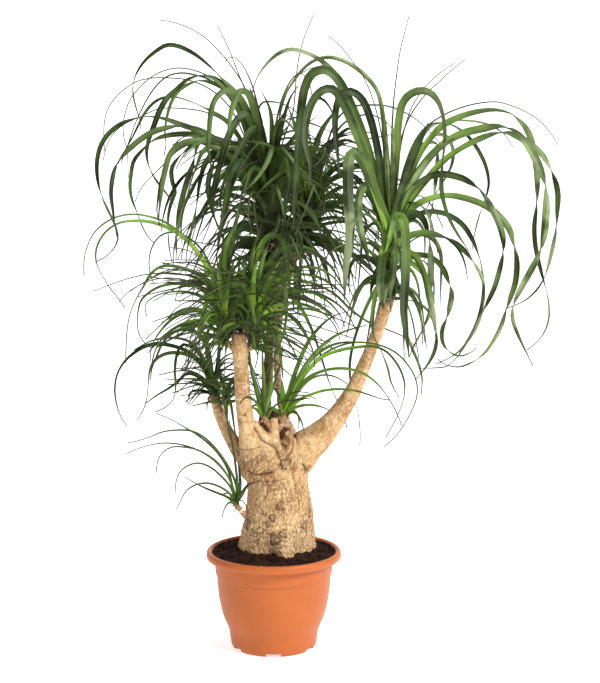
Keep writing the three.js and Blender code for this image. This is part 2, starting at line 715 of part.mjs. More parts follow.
// Points over a leaf at which it is tested, with their distance from its root
function leafPoints(stations) {
  const points = [];
  let gone = 0;
  for (let i = 0; i < stations.length - 1; i += 1) {
    const [from, to] = [stations[i], stations[i + 1]];
    const span = from.point.distanceTo(to.point);
    const rows = Math.max(1, Math.ceil(span / TEST_STEP));
    const last = i === stations.length - 2;
    for (let row = 0; row < rows; row += 1) {
      const share = row / rows;
      const wide = lerp(from.wide, last ? 0 : to.wide, share);
      const columns = Math.max(1, Math.ceil(wide / TEST_STEP));
      const middle = from.point.clone().lerp(to.point, share);
      const side = from.side.clone().lerp(to.side, share);
      for (let column = 0; column <= columns; column += 1) {
        const offset = wide * (column / columns - 0.5);
        points.push({ place: middle.clone().addScaledVector(side, offset), gone: gone + span * share });
      }
    }
    gone += span;
  }
  return points;
}

function crossings(points, own, limit) {
  let ownCount = 0;
  for (const { place, gone } of points) {
    if (gone < LEAF.rootReach) continue;
    if (place.z < LEAF.lowestTip) return Infinity;
    const owners = ownersNear(place);
    if (owners & ~own) return Infinity;
    if (owners & own && gone > 2 * LEAF.rootReach) ownCount += 1;
    if (ownCount >= limit) return ownCount;
  }
  return ownCount;
}

function ruledLeaf(head, column, index, random, attempt) {
  const age = 1 - (index + 0.5) / head.leaves;
  const curve = limbCurve(column);
  const place = curve.getUtoTmapping(lerp(LEAF.topRoot, LEAF.lowRoot, age ** 1.2), 0);
  const axis = curve.getPoint(place);
  const strain = attempt / LEAF.tries;
  const jitter = (size) => (random() - 0.5) * 2 * size;
  const stray = ([first, more]) => jitter(first + more * strain);
  const azimuth = head.facing + index * GOLDEN_ANGLE + stray(LEAF.stray.azimuth);
  const rise = lerp(head.rise[1], head.rise[0], age) + stray(LEAF.stray.rise);
  const fall = lerp(head.fall[1], head.fall[0], age) + stray(LEAF.stray.fall);
  const fullness = 1 - LEAF.shortening * Math.abs(age - LEAF.longestAge);
  const grown = lerp(head.length[0], head.length[1], fullness * lerp(LEAF.leastGrown, 1, random()));
  const length = grown * (1 - LEAF.mostLost * strain);
  const outward = new THREE.Vector3(Math.cos(radians(azimuth)), Math.sin(radians(azimuth)), 0);
  const root = axis.addScaledVector(outward, Math.max(0, valueAlong(column.radii, place) - LEAF.sunk));
  const width = lerp(head.width[0], head.width[1], random());
  const route = archedRoute({ root, azimuth, rise, fall, length, sweep: jitter(LEAF.mostSweep) });
  const segments = Math.round(THREE.MathUtils.mapLinear(length, ...LEAF.lengths, ...LEAF.segments));
  const twist = jitter(LEAF.mostTwist * segments);
  return leafStations({ route, width, roll: jitter(LEAF.mostRoll), twist, segments });
}

function nearestOnAxis(column, point) {
  const candidates = limbCurve(column).getPoints(AXIS_POINTS).slice(LOWEST_AXIS_POINT);
  return candidates.reduce((best, next) => (next.distanceTo(point) < best.distanceTo(point) ? next : best));
}

// A drawn leaf is rooted on the column's axis, at the place nearest to its first point
function drawnLeaf([width, roll, points], column) {
  const [first, ...rest] = points.map(vector);
  const route = [nearestOnAxis(column, first), ...rest];
  return leafStations({ route, width, roll, twist: -roll, segments: points.length });
}

function markWood() {
  takeSpace(pointsOnRings(ringsOf(swollenBase(), BASE_SIDES)), WOOD);
  for (const shape of Object.values(LIMBS)) {
    const fine = limb({ ...shape, extra: EXTRA_WOOD_RINGS });
    takeSpace(pointsOnRings(ringsOf(fine, shape.sides ?? LIMB_SIDES)), WOOD);
  }
}

function keepLeaf(grown, stations) {
  takeSpace(leafPoints(stations).map(({ place }) => place), grown.owner);
  grown.leaves.push(stations);
}

function growDrawnLeaves(grown) {
  for (const leaf of grown.head.drawn) {
    const stations = drawnLeaf(leaf, grown.column);
    if (crossings(leafPoints(stations), grown.owner, Infinity) < Infinity) keepLeaf(grown, stations);
  }
}

// The leaf of this age that crosses nothing of another node and least of its own; it is left out where
// every try crosses
function growRuledLeaf(grown, index) {
  let best = null;
  let fewest = Infinity;
  for (let attempt = 0; attempt < LEAF.tries && fewest > 0; attempt += 1) {
    const stations = ruledLeaf(grown.head, grown.column, index, grown.random, attempt);
    const count = crossings(leafPoints(stations), grown.owner, fewest);
    if (count < fewest) [best, fewest] = [stations, count];
  }
  if (best) keepLeaf(grown, best);
}

function growHeads() {
  const heads = Object.entries(HEADS).map(([name, head], i) => {
    const column = columnOf(head);
    const random = seededRandom(head.seed);
    return { name, head, column, core: limb(column), owner: 2 << i, random, leaves: [] };
  });
  markWood();
  for (const { core, owner } of heads) takeSpace(pointsOnRings(ringsOf(core, LIMB_SIDES)), owner);
  heads.forEach(growDrawnLeaves);
  const most = Math.max(...heads.map(({ head }) => head.leaves));
  for (let index = 0; index < most; index += 1) {
    for (const grown of heads) {
      if (index < grown.head.leaves) growRuledLeaf(grown, index);
    }
  }
  return heads;
}

const plant = new THREE.Group();
plant.add(meshOf("pot", pot(), FINISH.pot));
plant.add(meshOf("soil", soil(), FINISH.soil));
plant.add(meshOf("trunk", trunk(), FINISH.bark));
for (const { name, core, leaves } of growHeads()) {
  const head = wasm.Manifold.union([core, ...leaves.map(leafSkin)].map(solidOf));
  const finish = name.startsWith("tuft_centre") ? FINISH.youngLeaf : FINISH.leaf;
  plant.add(meshOf(name, head, finish));
}

export default plant;
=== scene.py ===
"""Potted ponytail palm: bark, soil, ribbon leaves and a moulded pot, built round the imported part.

Tables are in millimetres and degrees, with +Z up, the thick arm towards +X and the front towards -Y.
"""
import math
import random

import bpy
import numpy as np
from bpy.props import FloatProperty, FloatVectorProperty, PointerProperty
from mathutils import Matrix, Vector


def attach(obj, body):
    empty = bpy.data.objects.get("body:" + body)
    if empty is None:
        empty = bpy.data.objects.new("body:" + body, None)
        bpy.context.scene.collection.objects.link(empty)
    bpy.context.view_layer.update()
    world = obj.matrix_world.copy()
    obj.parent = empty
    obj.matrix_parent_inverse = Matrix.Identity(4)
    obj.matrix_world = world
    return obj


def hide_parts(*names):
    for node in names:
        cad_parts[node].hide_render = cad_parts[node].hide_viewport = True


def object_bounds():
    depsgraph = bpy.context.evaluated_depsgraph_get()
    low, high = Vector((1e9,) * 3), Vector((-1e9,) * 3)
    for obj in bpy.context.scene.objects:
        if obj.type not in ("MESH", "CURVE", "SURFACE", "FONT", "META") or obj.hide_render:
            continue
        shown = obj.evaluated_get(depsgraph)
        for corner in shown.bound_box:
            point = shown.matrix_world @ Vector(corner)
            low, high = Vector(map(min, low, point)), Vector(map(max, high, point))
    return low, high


bl_info = {
    "name": "Potted Ponytail Palm",
    "version": (1, 0, 0),
    "blender": (4, 5, 0),
    "location": "3D View > Sidebar > Plant",
    "description": "Builds the bark, soil, leaves and pot of a branched ponytail palm",
    "category": "Add Mesh",
}

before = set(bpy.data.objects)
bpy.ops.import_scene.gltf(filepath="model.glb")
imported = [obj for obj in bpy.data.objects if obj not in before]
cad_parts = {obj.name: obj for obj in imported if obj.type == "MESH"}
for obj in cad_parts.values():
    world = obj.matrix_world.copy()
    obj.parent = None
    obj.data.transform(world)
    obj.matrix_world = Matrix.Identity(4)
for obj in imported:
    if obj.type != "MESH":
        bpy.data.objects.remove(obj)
CAD_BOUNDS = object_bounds()
MM = 0.001

# The photograph's camera, level with the crowns and tipped down a little
CAMERA_PLACE = (67.0, -4500.0, 1465.0)
CAMERA_PITCH = 8.54
FOCAL_PIXELS = 1812.3
PHOTO_WIDTH, PHOTO_HEIGHT = 600, 683
FILM = 36.0

# Lamps of the studio as [place in metres, width, power]
LAMPS = {
    "key": [(3.0, -2.6, 3.4), 1.6, 262],
    "fill": [(-3.0, -3.4, 2.4), 2.4, 26],
    "top": [(0.4, 0.2, 4.0), 1.8, 70],
}
# Where the lamps point, in metres
LAMP_AIM = (0.1, 0, 0.8)
WORLD_LIGHT = 0.37
# How much the paper shines near the plant and far behind it, and these depths in metres
PAPER_GLOW = (0.6, 0.8)
GLOW_DEPTHS = (0.4, 3.0)
# The paper under and behind the plant, with the radius of the bend between floor and backdrop
PAPER = {"front": -9000, "back": 8000, "half_width": 11000, "top": 9000, "bend": 900}


def tint(red, green, blue):
    """A colour read off as 0 to 255 values, as the linear colour that a shader takes."""
    shares = (value / 255 for value in (red, green, blue))
    return tuple(s / 12.92 if s <= 0.04045 else ((s + 0.055) / 1.055) ** 2.4 for s in shares)


# Pot
POT_SIDES = 160
# Outlines as [radius, height], one smooth stretch after another with an edge between them
POT_OUTSIDE = [
    [[98, 0], [103, 0.8], [107, 4], [109.5, 10], [111.5, 24], [114.5, 44], [118, 55], [124, 69], [130.5, 86],
     [136, 107], [140.8, 132], [143.8, 158], [145.4, 184], [145.8, 191]],
    [[148.2, 192], [149, 196], [150.8, 215], [152.2, 230.5]],
    [[154.5, 231], [163, 231.2], [168.4, 232], [171.2, 234.6], [172.2, 239], [172, 244.5], [170.4, 249.4],
     [167, 252.2], [163.6, 252.6], [160.6, 251.4], [158.6, 248.6]],
]
POT_INSIDE = [[[157, 243], [148, 231], [141, 194], [135, 130], [118, 63], [105, 14], [103, 12]]]
# Spacing of the points along the outside and the inside
OUTSIDE_STEP = 2.6
INSIDE_STEP = 9
# Edges of the pot that turn by more degrees than this stay sharp
SHARP_TURN = 38
# Channels under the foot: the length, width and height of their cutter, and how far out it starts
FOOT_CHANNELS = 6
CHANNEL_SIZE = (108, 38, 19)
CHANNEL_START = 55
# Drain holes: their radius, how far out they are, and the bottom and top of their cutter
DRAIN_RADIUS = 7
DRAIN_PLACE = 80
DRAIN_SPAN = (-20, 40)
DRAIN_SIDES = 20

# Soil
SOIL_TOP = 247.5
SOIL_MOUND = 12
MOUND_REACH = (92, 140)
SOIL_RADIUS = 157
SOIL_FLOOR = 14
# The side of the soil as [radius, height], inside the wall of the pot
SOIL_SIDE = [
    [96, SOIL_FLOOR], [101, SOIL_FLOOR + 2], [118, 64], [134, 130], [140, 194], [147, 233],
    [SOIL_RADIUS - 0.6, SOIL_TOP - 4], [SOIL_RADIUS, SOIL_TOP - 1],
]
SOIL_SIDES = 200
# Rings of the top: the space between them, and the radius under the trunk where they end
SOIL_RING = 2.2
SOIL_MIDDLE = 60
SOIL_SEED = 11

# The swollen base as [height, middle in X, radius]
BASE = [
    [170, 7, 84], [240, 7, 95], [256, 7.5, 98], [280, 9, 94], [304, 10.5, 91], [330, 12, 88],
    [358, 13, 85], [386, 13, 81], [414, 11.5, 77.5], [440, 9, 78], [462, 8, 82], [482, 9, 86],
    [502, 14, 84], [520, 20, 70], [532, 22, 48], [538, 22, 22],
]
BASE_DEPTH = 0.93
FRONT_FLATTENING = 0.16
FLATTENED = (250, 330)
BASE_SIDES = 96
BASE_ROWS = 64
SOIL_LINE = 246
# How far under the soil line the base is plain
PLAIN_FOOT = 30
# Marks that are placed by angle stay under this height
BASE_MARKS_TOP = 560
# Knots as [angle, height, radius, proud], a dark ring round a pit
# The ring and the pit are painted dark: partly the knot's own colour, partly painted shade that is deeper on
# one side
KNOTS = [
    [-87, 384, 9, 3], [-101, 354, 7, 2.6], [-40, 328, 9, 3.2], [-82, 316, 8, 3], [-95, 300, 12, 3.4],
    [-23, 370, 6, 2.4], [-25, 352, 6, 2.4], [-78, 493, 11, 3.4], [-107, 337, 5.5, 2], [-32, 473, 6, 2],
    [150, 300, 15, 4], [95, 345, 12, 3.5], [35, 285, 13, 3.5], [60, 420, 12, 3], [120, 400, 9, 2.5],
    [-150, 330, 10, 2.5], [170, 430, 10, 3],
]
# Brown stains, and grey-green patches of algae, as [angle, height, radius]
STAINS = [[-118, 505, 20], [-128, 480, 30], [-150, 470, 28], [-108, 466, 24], [-98, 440, 16], [-60, 478, 14]]
PATCHES = [[-128, 313, 17], [-118, 340, 9], [40, 330, 22], [150, 380, 20]]
# Swellings of the base where old roots leave it, as [angle, height, reach, proud]
ROOT_LOBES = [
    [-70, 262, 20, 8], [-118, 252, 20, 5], [-148, 250, 24, 6], [-38, 254, 20, 5], [8, 252, 22, 3],
    [70, 248, 34, 10], [120, 250, 30, 7], [180, 252, 22, 4],
]
# Folds in the bark as [depth, width, points], in X and Z, in front of a depth in Y and under a height
# Each fold is sunk and painted dark along its line, as painted shade
FOLDS_FRONT = -8
FOLDS_TOP = 600
FOLDS = [
    [6.5, 5, [[-66, 472], [-56, 466], [-45, 462], [-33, 461], [-16, 465], [-4, 470]]],
    [1.6, 3, [[-52, 452], [-36, 446], [-14, 444], [10, 448], [30, 452]]],
    [2, 2.2, [[-84, 526], [-66, 529], [-52, 531], [-30, 535], [-13, 535]]],
    [7, 4, [[-44, 582], [-38, 572], [-28, 553], [-8, 543], [7, 531], [12, 516], [14, 504]]],
    [6, 3.4, [[54, 566], [52, 556], [50, 542], [47, 527], [38, 514], [30, 502]]],
    [4, 4, [[76, 484], [80, 476], [84, 469], [88, 461]]],
    [1.6, 1.8, [[48, 470], [54, 440], [62, 405], [66, 370]]],
    [1.4, 1.8, [[34, 450], [42, 420], [52, 392]]],
    [1.6, 2, [[-20, 452], [-14, 425], [-22, 398]]],
]
# Hollows, sunk and painted dark as painted shade, as [place, radius]
HOLLOWS = [[[31, -66, 550], 9], [[60, -20, 545], 9], [[-22, -40, 555], 9]]

# Limbs of the trunk: the kind of bark, middle points and radii. Kinds: 0 old bark, 1 smooth arm, 2 dark stem,
# 3 young reddish shoot
LIMBS = {
    "burl": [0, [[-46, -8, 456], [-43, -34, 480], [-36, -46, 500], [-34, -45, 516]], [34, 44, 48, 34]],
    "burlShoulder": [1, [[-56, -54, 592], [-44, -52, 562], [-24, -50, 534], [-14, -50, 508], [-16, -46, 486]],
                     [16, 24, 29, 30, 26]],
    "rootLobe": [0, [[14, -40, 330], [22, -58, 296], [29, -74, 268], [34, -84, 248]], [36, 34, 28, 20]],
    "backShoulder": [2, [[0, 38, 530], [2, 44, 575], [6, 48, 606]], [24, 17, 11]],
    # The crotch carries dark stem bark, as painted shade between the limbs
    "crotch": [2, [[26, 26, 500], [28, 26, 540], [28, 26, 566]], [36, 27, 18]],
    "backLobe": [0, [[-50, 0, 540], [-44, -6, 562], [-22, -16, 552], [-2, -30, 528]], [18, 15, 15, 16]],
    "rightArm": [1, [[10, 0, 440], [55, -8, 488], [78, -12, 518], [113, -15, 548], [151, -20, 590],
                     [181, -25, 635], [202, -30, 673], [217, -35, 710], [236, -42, 758], [253.5, -50, 807],
                     [267, -56, 848], [278, -60, 888]],
                 [52, 50, 47, 38.5, 29.5, 24, 21, 18.8, 16.4, 15.2, 15.4, 18]],
    "uprightArm": [1, [[-35, -30, 470], [-48, -48, 505], [-57, -55, 540], [-64, -60, 575], [-70, -63, 612],
                       [-74, -66, 652], [-77, -70, 700], [-80, -73, 750], [-83, -75, 790], [-83, -76, 822]],
                   [40, 36, 29, 22, 20.5, 20, 19, 18.5, 20, 17]],
    "uprightLeftTip": [2, [[-84, -60, 774], [-95, -64, 780], [-106, -72, 790]], [7, 7, 7]],
    "uprightRightTip": [2, [[-80, -60, 766], [-70, -64, 773], [-60, -72, 782]], [7, 7, 7]],
    "leftArm": [1, [[-50, 30, 455], [-80, 40, 490], [-100, 45, 516], [-117, 48, 545], [-131, 50, 575],
                    [-141, 50, 600], [-148, 50, 628]], [30, 24, 20.5, 17, 15, 14, 13]],
    "leftSpur": [1, [[-128, 50, 556], [-123, 38, 590], [-121, 30, 625]], [8, 7, 7]],
    "backStem": [2, [[-15, 25, 480], [-20, 45, 525], [-23, 55, 572], [-15, 60, 707], [-9, 60, 800],
                     [-4, 60, 887], [-5, 60, 972]], [27, 17, 12.5, 11, 11, 12, 16]],
    "secondBackStem": [3, [[40, 10, 480], [54, 10, 520], [46, 24, 552], [32, 44, 578], [22, 66, 606],
                           [14, 90, 650], [8, 104, 711], [13, 110, 829], [29, 110, 922], [52, 110, 1000]],
                       [18, 13, 11, 10.5, 9.5, 9.5, 9.5, 10.5, 12, 15]],
    "stub": [1, [[4, -30, 490], [3, -46, 520], [2, -47, 545], [2, -45, 567], [2, -42, 586], [2, -41, 600]],
             [26, 23, 19, 14.5, 11, 9.5]],
    "stubLeftSpur": [3, [[2, -32, 566], [-9, -36, 580], [-18, -38, 594]], [8, 7, 6.5]],
    "stubRightSpur": [3, [[8, -28, 566], [20, -31, 582], [26, -33, 600]], [8, 7, 6.5]],
    "curvedStub": [1, [[38, -52, 496], [45, -60, 524], [48, -60, 545], [43, -57, 561], [33, -54, 567]],
                   [20, 14, 11, 9.5, 8]],
    "baseSpur": [3, [[-58, -14, 340], [-76, -29, 353], [-89, -40, 372]], [9, 7.5, 6.5]],
}
LIMB_SIDES = 28
LIMB_STEP = 7
# Size of the cells that fuse the limbs to one skin, and how much and how often it is eased
TRUNK_GRAIN = 2.56
TRUNK_EASING = (0.5, 6)
# Numbers of the kinds of bark that are painted by an attribute, and how far they blend over the mesh
BARK_KINDS = {"arm": 1, "stem": 2, "shoot": 3}
KIND_BLEND = 12
# Heights between which old bark gives way to smooth bark, and how much they fall towards +X
OLD_WOOD = (484, 552)
OLD_WOOD_TILT = 0.2
# The spacing of samples along a limb, the lead that the base has over limbs, and the shift of their grain
AXIS_STEP = 6
BASE_LEAD = 1.5
GRAIN_SHIFT = 137
# The middle of the base's grain in X: its mean, how far it sways, and over what height
GRAIN_MIDDLE = (7, 5, 60)
FAR_AWAY = 1e9

# Single leaves of each head as [width, lean, twist, depth of the tip, across, down, ...]. Their middle lines
# are followed in the photograph, 600 by 683 pixels, and `lean` turns the blade towards the front.
CROWN_RIGHT_SEEN = [
    [17, 42, 540, -90, 391, 232, 402, 195, 418, 155, 440, 127, 458, 117, 477, 111, 495, 109, 509, 112, 521,
     121, 529, 133, 533, 147, 536, 165, 537, 183, 536, 205, 534, 228, 536, 250, 541, 270, 546, 288, 549, 303,
     549, 318, 545, 331, 537, 342, 527, 350],
    [19, 50, 800, -130, 390, 238, 402, 205, 422, 168, 443, 145, 462, 134, 482, 129, 500, 127, 513, 131, 524,
     141, 533, 154, 540, 168, 546, 184, 547, 200, 546, 216, 544, 234, 539, 252, 532, 268, 524, 283, 517, 297,
     513, 309, 513, 320, 518, 335, 525, 350, 533, 366],
    [17, -42, -760, -60, 391, 240, 404, 215, 424, 184, 444, 161, 466, 146, 488, 136, 505, 133, 520, 138, 533,
     146, 543, 155, 551, 168, 556, 182, 558, 196, 557, 210, 556, 225, 554, 240, 551, 255, 548, 268, 543, 281,
     535, 292, 524, 301, 505, 309],
    [19, 60, 130, -120, 393, 226, 396, 160, 399, 122, 403, 103, 411, 94, 421, 91, 431, 94, 438, 103, 442, 116,
     444, 132, 443, 150, 441, 172, 441, 190, 444, 205, 450, 221, 460, 238, 469, 251],
    [12, 52, 330, -40, 392, 235, 403, 180, 418, 140, 434, 124, 450, 125, 464, 133, 474, 144, 482, 157, 487,
     170, 489, 184, 486, 198, 480, 214, 475, 232, 472, 250],
    [11, 47, 152, 20, 392, 235, 402, 185, 415, 150, 430, 128, 445, 121, 462, 120, 480, 122, 494, 127, 505,
     135, 513, 147],
    [16, 52, -420, 40, 390, 245, 400, 195, 413, 160, 427, 142, 437, 143, 438, 158, 436, 176, 434, 193, 432,
     208, 430, 222, 431, 232],
    [11, 42, 285, 60, 392, 240, 404, 180, 420, 148, 436, 135, 447, 137, 453, 150, 452, 164, 446, 177, 439,
     189, 431, 200, 425, 212],
    [17, 46, 640, -150, 390, 248, 399, 215, 408, 193, 422, 180, 437, 174, 452, 175, 467, 180, 480, 189, 488,
     200, 494, 212, 500, 226, 503, 241, 502, 256, 499, 271, 495, 286, 489, 300, 482, 315, 475, 330, 467, 342,
     458, 352, 447, 359, 436, 364],
    [17, 44, -640, -20, 391, 252, 400, 228, 412, 209, 428, 200, 447, 196, 463, 198, 479, 203, 492, 210, 502,
     219, 510, 230, 514, 243, 517, 256, 517, 270, 515, 284, 510, 298, 505, 312, 501, 326, 494, 340, 485, 353,
     473, 362, 458, 367, 444, 364, 438, 359],
    [15, 46, 480, -170, 389, 256, 400, 243, 412, 235, 427, 233, 442, 237, 456, 244, 468, 254, 477, 267, 483,
     281, 484, 295, 482, 307],
    [15, 46, 600, 30, 388, 262, 400, 256, 415, 254, 430, 256, 441, 265, 448, 279, 452, 293, 450, 305, 446,
     318, 442, 330, 443, 343, 450, 352, 460, 356, 470, 353, 476, 348],
    [18, 62, 300, -60, 390, 258, 398, 230, 407, 215, 417, 213, 425, 221, 429, 235, 431, 250, 431, 268, 430,
     285, 429, 300, 428, 320],
    [16, 52, -320, -190, 388, 262, 398, 256, 411, 254, 420, 265, 426, 282, 430, 300, 435, 320, 437, 340, 433,
     355, 425, 368, 415, 380],
    [21, 72, 30, -452, 390, 250, 394, 228, 399, 215, 404, 222, 406, 240, 406, 265, 405, 290, 404, 310, 406,
     330, 408, 345, 409, 357],
    [12, 52, 418, -80, 389, 264, 402, 258, 418, 268, 430, 283, 433, 302, 427, 319, 420, 334, 413, 348, 409,
     358],
    [21, 66, -40, -200, 388, 232, 378, 190, 366, 145, 350, 103, 338, 80, 328, 71, 320, 70, 311, 75, 305, 87,
     302, 103, 300, 122, 298, 150, 296, 180, 294, 205, 293, 230],
    [20, 72, -30, -260, 388, 236, 378, 200, 366, 160, 354, 128, 343, 103, 334, 90, 326, 89, 317, 95, 310, 107,
     306, 122, 305, 138, 307, 152, 310, 165, 309, 190],
    [18, -62, 40, -170, 389, 238, 384, 195, 378, 150, 370, 117, 361, 98, 350, 91, 342, 94, 337, 104, 335, 120,
     336, 140, 338, 158, 340, 178],
    [25, 82, 10, -250, 387, 242, 378, 205, 370, 178, 362, 160, 355, 152, 350, 156, 348, 170, 348, 190, 349,
     210, 350, 228, 349, 245, 346, 265, 345, 285, 344, 302],
    [16, 57, 60, 30, 388, 235, 378, 180, 362, 130, 345, 92, 332, 70, 318, 58, 303, 51, 290, 49, 277, 54, 266,
     64, 258, 75, 253, 88, 250, 106, 249, 124, 249, 142],
    [12, 47, -40, 40, 388, 230, 386, 160, 383, 115, 378, 92, 368, 78, 355, 67, 342, 60, 328, 57, 313, 61, 302,
     70, 293, 82, 285, 95, 281, 106, 279, 122, 278, 138],
    [20, 67, 20, -150, 388, 240, 382, 215, 374, 195, 366, 185, 360, 192, 358, 210, 360, 230, 366, 250, 370,
     268],
    [17, 62, 10, -90, 391, 232, 389, 190, 387, 150, 386, 120],
    [19, 72, 40, -150, 389, 240, 384, 252, 381, 270, 380, 290, 382, 306],
    [17, 66, 60, -170, 391, 240, 394, 254, 393, 272, 390, 292, 391, 312],
    [16, 70, 30, -150, 388, 256, 386, 272, 385, 290, 383, 309],
    [15, 66, 60, -160, 390, 262, 393, 274, 395, 288, 396, 302],
    [15, 66, 60, -130, 387, 262, 379, 270, 373, 284, 370, 300],
    [16, 64, -10, -95, 393, 230, 394, 190, 393, 150, 392, 116],
    [18, 56, 10, -120, 391, 232, 400, 195, 412, 160, 428, 123],
    [18, 50, 20, -110, 391, 235, 405, 200, 420, 172, 440, 148, 455, 138],
    [4, 0, 0, -40, 392, 225, 405, 165, 420, 133, 440, 117, 460, 108, 480, 103, 498, 102, 515, 107, 530, 114,
     543, 124, 552, 135, 558, 145],
    [4, 0, 0, -60, 391, 215, 392, 160, 393, 110, 396, 80, 400, 52, 404, 35, 409, 16],
    [4, 0, 0, -50, 392, 225, 397, 160, 405, 127, 415, 108, 428, 92, 441, 80, 454, 68, 466, 59],
    [3, 0, 0, -20, 393, 225, 402, 140, 412, 107, 425, 87, 440, 73, 455, 63],
    [3, 0, 0, -20, 390, 225, 384, 150, 376, 110, 365, 80, 350, 58, 338, 44, 328, 36],
    [11, 52, 152, -140, 388, 268, 378, 288, 373, 312, 374, 335, 382, 352, 388, 368, 391, 382, 399, 398],
    [10, 52, 228, -40, 390, 262, 400, 290, 405, 320, 411, 345, 418, 362, 422, 378, 421, 396],
    [13, 57, 304, 40, 391, 255, 404, 225, 420, 213, 440, 212, 460, 222, 473, 240, 481, 262, 484, 285, 482,
     306, 476, 325, 466, 343, 456, 358, 447, 366, 432, 368, 420, 368],
    [9, 42, 60, 30, 388, 272, 370, 300, 356, 335, 350, 365, 353, 395, 358, 412, 360, 430, 360, 446],
]
